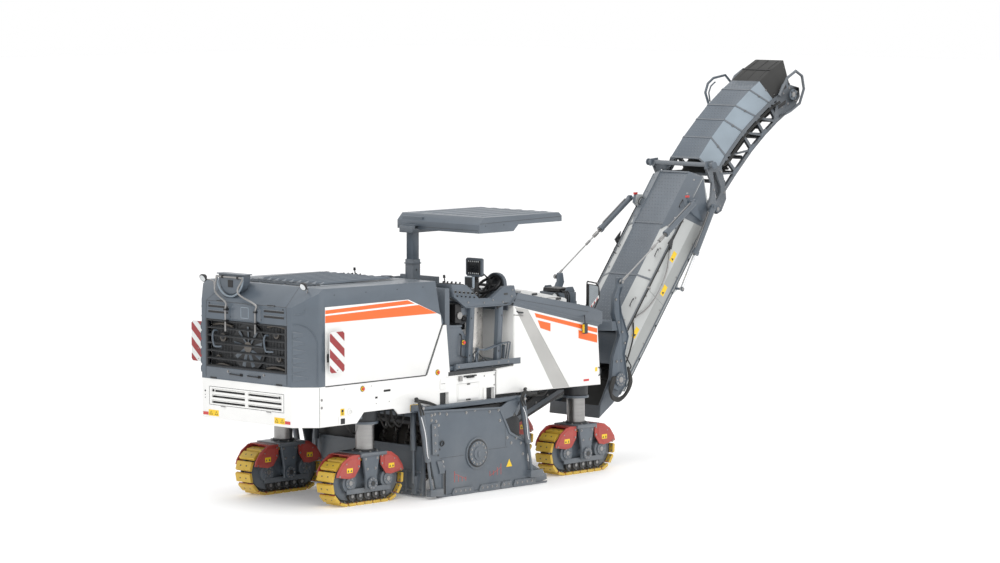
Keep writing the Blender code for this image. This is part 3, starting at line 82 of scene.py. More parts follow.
def finish(name, colour, rough, metal=0.0, grain=(300, 0.04), shade=0.12, wear=0.0, dust=0.0,
           coat=0.0, stretch=(1, 1, 1), clear=0.0, worn=(0.30, 0.29, 0.28)):
    """A painted, bare or moulded surface: patchy colour, fine grain, worn edges and low dust."""
    made = bpy.data.materials.new(name)
    made.use_nodes = True
    tree = made.node_tree
    shader = tree.nodes["Principled BSDF"]
    shader.inputs["Metallic"].default_value = metal
    shader.inputs["Coat Weight"].default_value = coat
    shader.inputs["Coat Roughness"].default_value = 0.12
    shader.inputs["Transmission Weight"].default_value = clear
    link = tree.links.new
    where = node(tree, "ShaderNodeTexCoord")
    scaled = node(tree, "ShaderNodeMapping")
    scaled.inputs["Scale"].default_value = stretch
    link(where.outputs["Object"], scaled.inputs["Vector"])
    broad = node(tree, "ShaderNodeTexNoise")
    broad.inputs["Scale"].default_value = 2.2
    broad.inputs["Detail"].default_value = 6
    link(scaled.outputs["Vector"], broad.inputs["Vector"])
    fine = node(tree, "ShaderNodeTexNoise")
    fine.inputs["Scale"].default_value = grain[0]
    fine.inputs["Detail"].default_value = 3
    link(scaled.outputs["Vector"], fine.inputs["Vector"])

    def mix(factor, first, second, blend="MIX"):
        step = node(tree, "ShaderNodeMix", data_type="RGBA", blend_type=blend)
        for socket, value in ((0, factor), (6, first), (7, second)):
            if isinstance(value, bpy.types.NodeSocket):
                link(value, step.inputs[socket])
            else:
                step.inputs[socket].default_value = value
        return step.outputs[2]

    def ranged(value, low, high, to_low, to_high):
        step = node(tree, "ShaderNodeMapRange")
        link(value, step.inputs["Value"])
        for key, number in (("From Min", low), ("From Max", high), ("To Min", to_low), ("To Max", to_high)):
            step.inputs[key].default_value = number
        return step.outputs["Result"]

    dark = tuple(c * (1 - shade) for c in colour) + (1,)
    light = tuple(min(1, c * (1 + shade * 0.5)) for c in colour) + (1,)
    base = mix(ranged(broad.outputs["Fac"], 0.3, 0.7, 0, 1), dark, light)
    if dust:
        height = node(tree, "ShaderNodeSeparateXYZ")
        link(where.outputs["Object"], height.inputs[0])
        low = ranged(height.outputs["Z"], 0.0, 1.3, dust, 0.0)
        patch = node(tree, "ShaderNodeMath", operation="MULTIPLY")
        link(low, patch.inputs[0])
        link(ranged(broad.outputs["Fac"], 0.35, 0.65, 0.2, 1.0), patch.inputs[1])
        base = mix(patch.outputs[0], base, (0.33, 0.30, 0.26, 1))
    if wear:
        edge = node(tree, "ShaderNodeNewGeometry")
        scratch = node(tree, "ShaderNodeMath", operation="MULTIPLY")
        link(ranged(edge.outputs["Pointiness"], 0.53, 0.62, 0.0, wear), scratch.inputs[0])
        link(ranged(fine.outputs["Fac"], 0.42, 0.60, 0.0, 1.0), scratch.inputs[1])
        base = mix(scratch.outputs[0], base, (*worn, 1))
    link(base, shader.inputs["Base Color"])
    link(ranged(fine.outputs["Fac"], 0.3, 0.7, max(0.02, rough - 0.06), min(1.0, rough + 0.08)),
         shader.inputs["Roughness"])
    bump = node(tree, "ShaderNodeBump")
    bump.inputs["Strength"].default_value = grain[1] * 4
    bump.inputs["Distance"].default_value = 0.002
    link(fine.outputs["Fac"], bump.inputs["Height"])
    link(bump.outputs["Normal"], shader.inputs["Normal"])
    return made


SLATE = finish("blue_grey_paint", (0.088, 0.112, 0.140), 0.38, wear=0.5, dust=0.18, coat=0.15)
PALE = finish("pale_blue_paint", (0.27, 0.325, 0.375), 0.42, wear=0.3, coat=0.1)
WHITE = finish("white_paint", (0.84, 0.84, 0.825), 0.30, shade=0.035, wear=0.15, coat=0.3)
# Grey of the recessed band on the front body's sides: painted shade standing in for the recess's shadow.
PAINTED_RECESS_SHADE = finish("recess_band_painted_shade", (0.45, 0.445, 0.43), 0.40, shade=0.10)
ORANGE = finish("orange_film", (0.88, 0.145, 0.022), 0.34, shade=0.05)
SILVER = finish("silver_paint", (0.50, 0.515, 0.51), 0.36, shade=0.05, wear=0.2, coat=0.1)
ASH = finish("ash_paint", (0.36, 0.372, 0.366), 0.40, shade=0.06)
DARK = finish("near_black_paint", (0.022, 0.025, 0.029), 0.50, shade=0.3, wear=0.3, dust=0.10)
BLACK = finish("black_plastic", (0.012, 0.012, 0.013), 0.45, grain=(600, 0.06))
RUBBER = finish("black_rubber", (0.035, 0.035, 0.034), 0.72, grain=(220, 0.10), shade=0.25, dust=0.1)
RED = finish("red_guard_paint", (0.43, 0.050, 0.038), 0.42, wear=0.35, dust=0.12, shade=0.15)
YELLOW = finish("yellow_shoe_paint", (0.74, 0.47, 0.012), 0.50, wear=0.5, dust=0.25, shade=0.18)
STEEL = finish("bare_steel", (0.33, 0.325, 0.32), 0.32, metal=0.9, grain=(160, 0.05), stretch=(1, 1, 12))
MOTTLED = finish("heat_shield_metal", (0.56, 0.54, 0.51), 0.30, metal=0.85, grain=(14, 0.10), shade=0.45)
CHROME = finish("hard_chrome", (0.72, 0.73, 0.74), 0.10, metal=1.0, grain=(400, 0.01), shade=0.04)
CAST = finish("worn_tool_steel", (0.16, 0.145, 0.13), 0.48, metal=0.6, grain=(90, 0.12), shade=0.35, wear=0.6)
SEAT = finish("seat_cover", (0.028, 0.031, 0.035), 0.62, grain=(420, 0.12), shade=0.2)
BOARD = finish("board_white", (0.74, 0.75, 0.74), 0.38, shade=0.05)
BOARD_RED = finish("board_red", (0.30, 0.032, 0.034), 0.36, shade=0.08)
LABEL = finish("label_yellow", (0.88, 0.58, 0.02), 0.40, shade=0.05)
REFLECTOR = finish("reflector_red", (0.60, 0.035, 0.03), 0.15, grain=(500, 0.05), coat=0.5)
LENS = finish("lamp_lens", (0.62, 0.65, 0.66), 0.06, coat=0.8, grain=(60, 0.05), shade=0.25)
MIRROR = finish("mirror_glass", (0.30, 0.33, 0.35), 0.05, metal=0.9, grain=(50, 0.0), shade=0.3)
SCREEN = finish("dark_screen", (0.012, 0.014, 0.016), 0.08, coat=0.6, shade=0.4)

NODE_FINISH = {
    "white": WHITE, "slate": SLATE, "dark": DARK, "silver": SILVER, "rubber": RUBBER, "red": RED,
    "chrome": CHROME, "cast": CAST, "seat": SEAT, "black": BLACK, "steel": STEEL,
}
FINISH_OF = {
    "white": ("rear_panel", "side_panel_right", "side_panel_left", "hood_side_right", "hood_side_left",
              "front_body", "service_door"),
    "dark": ("chassis_frame", "engine_block", "drum_housing", "primary_conveyor", "hood_grille"),
    "silver": ("conveyor_lower",),
    "rubber": ("belt_lower", "belt_upper", "head_hood"),
    "red": tuple("guard_" + leg[0] for leg in LEGS),
    "chrome": ("fold_rod_right", "fold_rod_left"),
    "steel": ("stay_rope_right", "stay_rope_left"),
    "cast": ("milling_drum",),
    "seat": ("seats",),
    "black": ("control_stand",),
}


def is_slope(normal, centre):
    """The slanted flanks of a conveyor cover."""
    return abs(normal.y) > 0.3


def is_fitting(normal, centre):
    """Arms, bosses, pins and the hopper foot on the silver lower section."""
    return abs(centre.y) > 0.502 or centre.x - SHIFT < 5.45


TWO_TONE = {
    "conveyor_cover_lower": (SILVER, is_slope), "conveyor_cover_upper": (PALE, is_slope),
    "conveyor_lower": (SLATE, is_fitting),
}


def dress_nodes():
    """Every CAD node gets its finish, and rounded edges."""
    chosen = {name: key for key, names in FINISH_OF.items() for name in names}
    for name, ob in NODES.items():
        ob.data.materials.clear()
        ob.data.materials.append(NODE_FINISH[chosen.get(name, "slate")])
        if name in TWO_TONE:
            second, wanted = TWO_TONE[name]
            ob.data.materials.append(second)
            for face in ob.data.polygons:
                world = ob.matrix_world.to_3x3() @ face.normal
                if wanted(world, ob.matrix_world @ face.center):
                    face.material_index = 1
        ob.data.shade_smooth()
        weld = ob.modifiers.new("Weld", "WELD")
        weld.merge_threshold = 0.0001
        round_edges(ob, 0.003)


def round_edges(ob, width, angle=32):
    bevel = ob.modifiers.new("Bevel", "BEVEL")
    bevel.width = width
    bevel.segments = 2
    bevel.limit_method = "ANGLE"
    bevel.angle_limit = math.radians(angle)
    bevel.use_clamp_overlap = True
    bevel.harden_normals = True


# ---------------------------------------------------------------- drawing pieces
def smooth_path(points, steps=6):
    """Points of a smooth curve through the given ones (Catmull-Rom)."""
    path = [Vector(p) for p in points]
    path = [2 * path[0] - path[1]] + path + [2 * path[-1] - path[-2]]
    made = []
    for a, b, c, d in zip(path, path[1:], path[2:], path[3:]):
        for i in range(steps):
            t = i / steps
            made.append(0.5 * (2 * b + (c - a) * t + (2 * a - 5 * b + 4 * c - d) * t * t
                               + (3 * b - a - 3 * c + d) * t ** 3))
    return made + [path[-2]]


def arc(cx, cz, radius, start, end, steps):
    turns = [math.radians(start + (end - start) * i / steps) for i in range(steps + 1)]
    return [(cx + radius * math.cos(t), cz + radius * math.sin(t)) for t in turns]


class Piece:
    """One mesh with a few finishes, drawn in machine stations."""

    def __init__(self, name, body, slot, *finishes):
        self.name, self.body, self.slot, self.finishes = name, body, slot, finishes
        self.bm = bmesh.new()
        self.layer = 0
        self.turn = None

    def use(self, layer):
        self.layer = layer
        return self

    def shell(self, points, faces):
        if self.turn is not None:
            points = [self.turn @ Vector(p) for p in points]
        verts = [self.bm.verts.new(p) for p in points]
        new = [self.bm.faces.new([verts[i] for i in face]) for face in faces]
        bmesh.ops.recalc_face_normals(self.bm, faces=new)
        for face in new:
            face.material_index = self.layer
        return self

    def extruded(self, outline, low, high, place):
        n = len(outline)
        points = [place(a, b, low) for a, b in outline] + [place(a, b, high) for a, b in outline]
        faces = [list(range(n)), list(range(2 * n - 1, n - 1, -1))]
        faces += [[i, (i + 1) % n, n + (i + 1) % n, n + i] for i in range(n)]
        return self.shell(points, faces)

    def prism(self, outline, y0, y1):
        return self.extruded(outline, y0, y1, lambda a, b, h: (a, h, b))

    def slab(self, outline, z0, z1):
        return self.extruded(outline, z0, z1, lambda a, b, h: (a, b, h))

    def gate(self, outline, x0, x1):
        return self.extruded(outline, x0, x1, lambda a, b, h: (h, a, b))

    def box(self, x0, x1, y0, y1, z0, z1):
        return self.slab([(x0, y0), (x1, y0), (x1, y1), (x0, y1)], z0, z1)

    def rod(self, start, end, radius, sides=14, tip=None):
        a, b = Vector(start), Vector(end)
        d = (b - a).normalized()
        u = d.orthogonal().normalized()
        v = d.cross(u)
        points = []
        for centre, r in ((a, radius), (b, radius if tip is None else tip)):
            for k in range(sides):
                t = 2 * math.pi * k / sides
                points.append(centre + (u * math.cos(t) + v * math.sin(t)) * r)
        faces = [list(range(sides)), list(range(2 * sides - 1, sides - 1, -1))]
        faces += [[k, (k + 1) % sides, sides + (k + 1) % sides, sides + k] for k in range(sides)]
        return self.shell(points, faces)

    def pipe(self, points, radius, sides=8):
        path = [Vector(p) for p in points]
        side = (path[1] - path[0]).orthogonal().normalized()
        rings = []
        for i, point in enumerate(path):
            d = (path[min(i + 1, len(path) - 1)] - path[max(i - 1, 0)]).normalized()
            side = (side - d * side.dot(d)).normalized()
            up = d.cross(side)
            for k in range(sides):
                t = 2 * math.pi * k / sides
                rings.append(point + (side * math.cos(t) + up * math.sin(t)) * radius)
        n = len(path)
        faces = [list(range(sides)), [(n - 1) * sides + k for k in reversed(range(sides))]]
        for i in range(n - 1):
            for k in range(sides):
                j = (k + 1) % sides
                faces.append([i * sides + k, i * sides + j, (i + 1) * sides + j, (i + 1) * sides + k])
        return self.shell(rings, faces)

    def hose(self, points, radius, steps=6, sides=8):
        return self.pipe(smooth_path(points, steps), radius, sides)

    def ring(self, centre, axis, radius, thick, steps=24):
        a = Vector(axis).normalized()
        u = a.orthogonal().normalized()
        v = a.cross(u)
        points, faces, sides = [], [], 8
        for i in range(steps):
            t = 2 * math.pi * i / steps
            spoke = u * math.cos(t) + v * math.sin(t)
            for k in range(sides):
                w = 2 * math.pi * k / sides
                points.append(Vector(centre) + spoke * (radius + math.cos(w) * thick)
                              + a * math.sin(w) * thick)
        for i in range(steps):
            for k in range(sides):
                p, q = i * sides, (i + 1) % steps * sides
                j = (k + 1) % sides
                faces.append([p + k, p + j, q + j, q + k])
        return self.shell(points, faces)

    def bolt(self, at, axis, radius=0.013, height=0.009):
        """A washer with a hexagon head."""
        a, n = Vector(at), Vector(axis).normalized()
        self.rod(a - n * 0.001, a + n * 0.003, radius * 1.5, 14)
        return self.rod(a + n * 0.002, a + n * (0.003 + height), radius, 6)

    def strip(self, points, half_a, half_b, across):
        """A flat bar along a path: half_a across it, half_b in its thickness."""
        path = [Vector(p) for p in points]
        w = Vector(across).normalized()
        rings = []
        for i, p in enumerate(path):
            d = (path[min(i + 1, len(path) - 1)] - path[max(i - 1, 0)]).normalized()
            n = d.cross(w).normalized()
            rings += [p + w * half_a + n * half_b, p - w * half_a + n * half_b,
                      p - w * half_a - n * half_b, p + w * half_a - n * half_b]
        n = len(path)
        faces = [[0, 1, 2, 3], [4 * n - 1, 4 * n - 2, 4 * n - 3, 4 * n - 4]]
        for i in range(n - 1):
            for k in range(4):
                j = (k + 1) % 4
                faces.append([4 * i + k, 4 * i + j, 4 * i + 4 + j, 4 * i + 4 + k])
        return self.shell(rings, faces)

    def done(self, bevel=SOFT_EDGE, replaces=()):
        bmesh.ops.translate(self.bm, vec=(SHIFT, 0, 0), verts=self.bm.verts)
        mesh = bpy.data.meshes.new(self.name)
        self.bm.to_mesh(mesh)
        self.bm.free()
        for one in self.finishes:
            mesh.materials.append(one)
        mesh.shade_smooth()
        mesh.set_sharp_from_angle(angle=math.radians(35))
        ob = bpy.data.objects.new(self.name, mesh)
        bpy.context.scene.collection.objects.link(ob)
        if bevel:
            round_edges(ob, bevel, 38)
        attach(ob, self.body)
        if replaces:
            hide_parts(*replaces)
        return ob


# ---------------------------------------------------------------- tracks and legs
TRACK_LENGTH, TRACK_HEIGHT, TRACK_WIDTH = 1.38, 0.655, 0.30
SHOE_PITCH, SHOE_DEPTH = 0.154, 0.045


def track_loop(cx):
    """The pitch line of a track: a function from arc length to place and heading, and its length."""
    r = TRACK_HEIGHT / 2 - SHOE_DEPTH
    half = TRACK_LENGTH / 2 - SHOE_DEPTH - r
    straight, turn = 2 * half, math.pi * r
    cz = TRACK_HEIGHT / 2

    def at(s):
        s %= 2 * (straight + turn)
        if s < straight:
            return Vector((cx - half + s, 0, cz - r)), 0.0
        s -= straight
        if s < turn:
            t = s / r
            return Vector((cx + half + r * math.sin(t), 0, cz - r * math.cos(t))), t
        s -= turn
        if s < straight:
            return Vector((cx + half - s, 0, cz + r)), math.pi
        t = (s - straight) / r
        return Vector((cx - half - r * math.sin(t), 0, cz + r * math.cos(t))), math.pi + t

    return at, 2 * (straight + turn)


def track(name, x, y, trail):
    """Chain links with a padded yellow shoe on each."""
    cx = x - trail
    at, total = track_loop(cx)
    count = round(total / SHOE_PITCH)
    pitch = total / count
    half = TRACK_WIDTH / 2
    shoes = Piece("shoes_" + name, name + "_leg", "track_shoes", YELLOW, DARK, STEEL, RED)
    for i in range(count):
        place, heading = at((i + 0.5) * pitch)
        shoes.turn = (Matrix.Translation(place + Vector((0, y, 0)))
                      @ Matrix.Rotation(-heading, 4, "Y"))
        w = pitch * 0.45
        shoes.use(0).prism([(-w, -0.004), (w, -0.004), (w, -0.020), (w * 0.84, -SHOE_DEPTH),
                            (-w * 0.84, -SHOE_DEPTH), (-w, -0.020)], -half, half)
        for s in (-1, 1):
            shoes.use(1).box(-0.010, 0.010, *span(s, 0.045, 0.070), -SHOE_DEPTH - 0.0012, -0.03)
            shoes.use(3).box(-w * 1.02, -w * 0.90, *span(s, 0.02, half - 0.004), -0.018, -0.002)
            shoes.use(1).box(-pitch * 0.56, pitch * 0.40, *span(s, 0.045, 0.075), -0.006, 0.034)
            shoes.use(2).rod((pitch * 0.42, s * 0.040, 0.014), (pitch * 0.42, s * 0.082, 0.014), 0.014, 10)
            shoes.use(2).bolt((0, s * 0.130, -0.024), (0, s, 0), 0.009, 0.004)
            shoes.bolt((-w * 0.55, s * 0.128, -0.004), UP, 0.009, 0.007)
            shoes.bolt((w * 0.55, s * 0.128, -0.004), UP, 0.009, 0.007)
        shoes.use(1).box(-w * 0.55, w * 0.55, -0.035, 0.035, -0.006, 0.004)
    shoes.turn = None
    for vert in shoes.bm.verts:
        vert.co.z = max(vert.co.z, 0.0005)
    shoes.done(0.0025, replaces=("track_" + name,))


def leg(name, x, y, trail):
    """What shows on a leg besides its castings: bright column, hub, rollers, guard trim."""
    cx, cz, half = x - trail, TRACK_HEIGHT / 2, TRACK_WIDTH / 2
    body = name + "_leg"
    bright = Piece("column_" + name, body, "worn_steel", STEEL, DARK, SLATE)
    bright.use(0).rod((x, y, 0.724), (x, y, 1.098), 0.1312, 40)
    bright.use(1).rod((x, y, 0.722), (x, y, 0.752), 0.152, 28)
    for i in range(8):
        t = 2 * math.pi * (i + 0.5) / 8
        bright.use(0).bolt((x + 0.19 * math.cos(t) * 0.9, y + 0.19 * math.sin(t), 0.722), UP, 0.014, 0.012)
    for s in (-1, 1):
        face = y + s * (half + 0.09)
        bright.use(2).rod((cx, face, cz - 0.03), (cx, face + s * 0.016, cz - 0.03), 0.088, 24)
        bright.use(1).rod((cx, face + s * 0.014, cz - 0.03), (cx, face + s * 0.024, cz - 0.03), 0.036, 20)
        for u, v in around(9, 0.066):
            bright.use(0).bolt((cx + u, face + s * 0.015, cz - 0.03 + v),
                               (0, s, 0), 0.008, 0.006)
        for e in (-1, 1):
            hub = cx + e * (TRACK_LENGTH / 2 - cz)
            side = y + s * (half + 0.015)
            bright.use(2).rod((hub, side, cz), (hub, side + s * 0.02, cz), 0.085, 22)
            bright.use(0).rod((hub, side + s * 0.018, cz), (hub, side + s * 0.028, cz), 0.034, 18)
            for u, v in around(6, 0.062):
                bright.bolt((hub + u, side + s * 0.019, cz + v),
                            (0, s, 0), 0.007, 0.005)
        for i in range(5):
            rx = cx - 0.30 + 0.15 * i
            bright.use(1).rod((rx, y + s * 0.085, 0.135), (rx, y + s * (half - 0.002), 0.135), 0.062, 20)
            bright.use(0).rod((rx, y + s * (half - 0.004), 0.135), (rx, y + s * (half + 0.010), 0.135), 0.024,
                              14)
        bright.use(2).strip([(cx - 0.42, y + s * (half + 0.012), 0.205),
                             (cx + 0.42, y + s * (half + 0.012), 0.205)],
                            0.035, 0.010, UP)
        for dx, dz in ((-0.11, 0.64), (0.11, 0.64), (-0.075, 0.50), (0.075, 0.50)):
            bright.use(0).bolt((cx + dx, y + s * (half + 0.075), dz), (0, s, 0), 0.013)
    bright.done()

    trim = Piece("guard_trim_" + name, body, "red_guard", RED, DARK, LABEL, STEEL)
    for e in (-1, 1):
        for s in (-1, 1):
            out = y + s * (half + 0.0555)
            flap = [(cx + e * 0.27, 0.660), (cx + e * 0.39, 0.660), (cx + e * 0.50, 0.600),
                    (cx + e * 0.585, 0.49), (cx + e * 0.600, 0.45), (cx + e * 0.40, 0.425),
                    (cx + e * 0.27, 0.52)]
            trim.use(0).prism(flap, *sorted((out, out + s * 0.004)))
            trim.use(2).box(cx + e * 0.40 - 0.055, cx + e * 0.40 + 0.055,
                            *sorted((out + s * 0.003, out + s * 0.0055)),
                            0.475, 0.540)
            for at in (-0.028, 0.028):
                trim.use(1).prism([(cx + e * 0.40 + at - 0.018, 0.488), (cx + e * 0.40 + at + 0.018, 0.488),
                                   (cx + e * 0.40 + at, 0.522)], *sorted((out + s * 0.005, out + s * 0.0065)))
            for fx, fz in ((0.225, 0.66), (0.225, 0.55), (0.585, 0.44), (0.46, 0.60)):
                trim.use(3).bolt((cx + e * fx, out, fz), (0, s, 0), 0.010, 0.006)
        for lx in (0.20, 0.27, 0.34):
            trim.use(1).box(cx + e * lx - 0.008, cx + e * lx + 0.008, y - half, y + half, 0.704, 0.711)
    trim.done(EDGE)


# ---------------------------------------------------------------- milling unit
DRUM_X, DRUM_Z, DRUM_R = 1.76, 0.56, 0.40
DRUM_Y = (-1.13, 0.31)


def drum_tools():
    """Cutting tools in holders, on two helices that carry the cuttings to the middle."""
    tools = Piece("drum_tools", "drum", "worn_steel", CAST, STEEL, DARK)
    count, turns = 72, 3.0
    middle = sum(DRUM_Y) / 2
    reach = (DRUM_Y[1] - DRUM_Y[0]) / 2 - 0.03
    for s in (-1, 1):
        rows = []
        for i in range(count):
            share = (i + 0.5) / count
            y = middle + s * reach * share
            for start in (0, math.pi):
                t = start + s * turns * math.pi * share
                tools.turn = (Matrix.Translation((DRUM_X, y, DRUM_Z)) @ Matrix.Rotation(t, 4, "Y"))
                if i % 2 == (0 if start else 1):
                    continue
                tools.use(0).prism([(-0.045, DRUM_R - 0.01), (0.040, DRUM_R - 0.01), (0.030, DRUM_R + 0.042),
                                    (-0.020, DRUM_R + 0.046)], -0.020, 0.020)
                tools.use(1).rod((0.005, 0, DRUM_R + 0.036), (0.038, 0, DRUM_R + 0.066), 0.013, 8, 0.010)
                tools.use(0).rod((0.036, 0, DRUM_R + 0.064), (0.050, 0, DRUM_R + 0.078), 0.009, 8, 0.002)
            t = s * turns * math.pi * share
            rows.append((DRUM_X + (DRUM_R + 0.012) * math.sin(t), y - s * 0.028,
                         DRUM_Z + (DRUM_R + 0.012) * math.cos(t)))
        tools.turn = None
        tools.use(2).pipe(rows, 0.016, 6)
    tools.done(SHARP)


def side_plate(name, s):
    """Bolts, drum cover, wear skids, slot frame and hoses of a side plate."""
    face = s * 1.265
    body = name + "_plate"

    def pair(a, b):
        return sorted((face + s * a, face + s * b))

    def at(x, z, lift=0.0):
        return (x, face + s * lift, z)

    plate = Piece("plate_fittings_" + name, body, "slate_paint", SLATE, DARK, STEEL, RED, LABEL)
    plate.use(0).rod(at(DRUM_X, DRUM_Z, -0.004), at(DRUM_X, DRUM_Z, 0.018), 0.225, 48)
    plate.use(1).rod(at(DRUM_X, DRUM_Z, 0.016), at(DRUM_X, DRUM_Z, 0.0195), 0.200, 44)
    plate.use(0).rod(at(DRUM_X - 0.01, DRUM_Z, 0.014), at(DRUM_X - 0.01, DRUM_Z, 0.045), 0.172, 44)
    plate.use(0).rod(at(DRUM_X - 0.01, DRUM_Z, 0.043), at(DRUM_X - 0.01, DRUM_Z, 0.056), 0.095, 32)
    plate.use(0).box(DRUM_X - 0.035, DRUM_X + 0.015, *pair(0.05, 0.066), DRUM_Z - 0.05, DRUM_Z + 0.03)
    for u, v in around(14, 0.150):
        plate.use(2).bolt(at(DRUM_X - 0.01 + u, DRUM_Z + v, 0.044), (0, s, 0), 0.011)
    bolts = [(0.86, 1.17), (0.92, 1.18), (0.86, 1.10), (0.95, 1.08), (1.02, 1.18), (1.16, 1.16), (1.55, 1.15),
             (1.72, 1.17), (2.02, 1.12), (2.20, 1.13), (2.23, 0.98), (1.00, 1.02), (0.92, 0.95), (0.97, 0.88),
             (2.46, 0.64), (2.56, 0.70), (2.66, 0.62), (2.70, 0.46), (2.38, 0.72), (1.08, 0.50), (1.09, 0.43)]
    for x, z in bolts:
        plate.use(2).bolt(at(x, z), (0, s, 0), 0.015, 0.010)
    # Seams: the lower skirt, the upright joint and the slotted frame at the rear.
    for x0, x1, z0, z1 in ((1.02, 1.50, 0.551, 0.556), (2.00, 2.38, 0.585, 0.590)):
        plate.use(1).box(x0, x1, *pair(-0.001, 0.0015), z0, z1)
    plate.use(1).box(2.336, 2.341, *pair(-0.001, 0.0015), 0.60, 0.98)
    plate.use(0).strip([at(0.90, 1.05, 0.012), at(0.915, 0.62, 0.012)], 0.055, 0.012, ALONG)
    for i in range(4):
        plate.use(2).bolt(at(0.90 + 0.005 * i, 1.00 - 0.11 * i, 0.023), (0, s, 0), 0.012)
    plate.use(0).strip([at(1.00, 0.52, 0.010), at(1.05, 0.38, 0.010), at(1.05, 0.34, 0.010)], 0.050, 0.010,
                       ALONG)
    plate.use(1).box(1.09, 1.135, *pair(-0.034, 0.001), 0.045, 0.365)
    for x in (1.075, 1.143):
        plate.use(0).box(x - 0.008, x + 0.008, *pair(-0.001, 0.010), 0.035, 0.375)
    for x, z in ((1.02, 0.68), (0.99, 0.60), (2.28, 1.05)):
        plate.use(1).rod(at(x, z, -0.002), at(x, z, 0.0025), 0.016, 16)
    # Lifting eye.
    plate.use(1).ring(at(1.06, 0.76, 0.01), (0, 1, 0.2), 0.034, 0.010, 18)
    # Wear skids along the foot.
    for x0, x1, n in ((1.26, 1.66, 4), (1.80, 2.20, 4), (2.24, 2.44, 2), (2.50, 2.93, 4)):
        plate.use(0).prism([(x0, 0.006), (x1, 0.006), (x1 + 0.02, 0.035), (x1, 0.105), (x0 + 0.03, 0.105),
                            (x0 - 0.01, 0.04)], *pair(-0.002, 0.022))
        for i in range(n):
            plate.use(2).bolt(at(x0 + (x1 - x0) * (i + 0.6) / (n + 0.2), 0.062, 0.021), (0, s, 0), 0.012,
                              0.008)
    plate.use(0).prism([(0.985, 0.003), (3.185, 0.003), (3.20, 0.03), (0.975, 0.03)], *pair(-0.002, 0.012))
    plate.use(0).prism([(2.24, 1.16), (2.44, 0.80), (2.72, 0.66), (2.79, 0.64), (2.79, 0.36), (2.76, 0.36),
                        (2.76, 0.62), (2.42, 0.77), (2.21, 1.14)], *pair(-0.002, 0.012))
    # Depth scales, blank.
    for x0, bars in ((1.31, (0.155, 0.10, 0.06, 0.06)), (2.02, (0.07, 0.07, 0.11, 0.155))):
        for i, bar in enumerate(bars):
            low = 0.19 if x0 < 2 else 0.21
            plate.use(3).box(x0 + 0.075 * i, x0 + 0.075 * i + 0.010, *pair(-0.001, 0.0022), low, low + bar)
        plate.use(3).prism([(x0, 0.205 if x0 > 2 else 0.305), (x0 + 0.235, 0.31 if x0 > 2 else 0.215),
                            (x0 + 0.235, 0.318 if x0 > 2 else 0.222), (x0, 0.213 if x0 > 2 else 0.313)],
                           *pair(-0.001, 0.002))
    plate.use(4).prism([(2.36, 0.305), (2.48, 0.305), (2.42, 0.415)], *pair(-0.001, 0.002))
    # Top edge flange.
    plate.use(0).prism([(0.69, 1.246), (2.25, 1.171), (2.235, 1.145), (0.695, 1.220)], *pair(-0.002, 0.014))
    plate.use(0).prism([(2.25, 1.16), (2.40, 1.23), (2.60, 1.25), (2.62, 1.17), (2.50, 1.02), (2.37, 0.99),
                        (2.32, 1.00)],
                       *pair(-0.028, -0.004))
    plate.done()

    # Cylinder trim and hoses stay with the machine.
    fix = Piece("plate_cylinder_trim_" + name, "machine", "black_rubber", RUBBER, CHROME, SLATE, STEEL)
    cy = s * 1.31
    for top_x, top_z, low_z in ((0.60, 1.30, 0.14), (2.64, 1.26, 0.22)):
        lean = math.tan(math.radians(10.5))
        collar = low_z + 0.40
        x = top_x + (top_z - collar) * lean
        fix.use(2).rod((x, cy, collar), (x - 0.07 * lean, cy, collar + 0.07), 0.0435, 22)
        fix.use(3).rod((x + 0.004 * lean, cy, collar - 0.004), (x, cy, collar), 0.036, 20)
        fix.use(3).rod((top_x, cy - s * 0.04, top_z), (top_x, cy + s * 0.062, top_z), 0.022, 16)
        fix.use(2).rod((top_x, cy - s * 0.03, top_z), (top_x, cy + s * 0.03, top_z), 0.0435, 22)
        fix.use(1).hose([(x - 0.03, cy + s * 0.045, collar + 0.05), (x - 0.07, cy + s * 0.062, collar + 0.12),
                         (x - 0.11, cy + s * 0.062, collar + 0.40),
                         (top_x - 0.035, cy + s * 0.05, top_z - 0.12)],
                        0.008, 5)
        over = -0.02 if top_x < 1 else 0.12
        for k, radius in ((0, 0.014), (1, 0.012)):
            fix.use(0).hose([(top_x - 0.03 + 0.05 * k, cy + s * 0.045, top_z - 0.10),
                             (top_x - 0.06 + 0.04 * k, cy + s * 0.040, top_z + 0.02),
                             (top_x + over - 0.02, cy - s * 0.02, top_z + 0.13 - 0.03 * k),
                             (top_x + over + 0.02, s * 1.215, top_z + 0.11 - 0.03 * k),
                             (top_x + 0.26, s * 1.200, top_z + 0.05 - 0.02 * k),
                             (top_x + 0.42, s * 1.195, 1.292)], radius, 7)
    fix.done(EDGE)


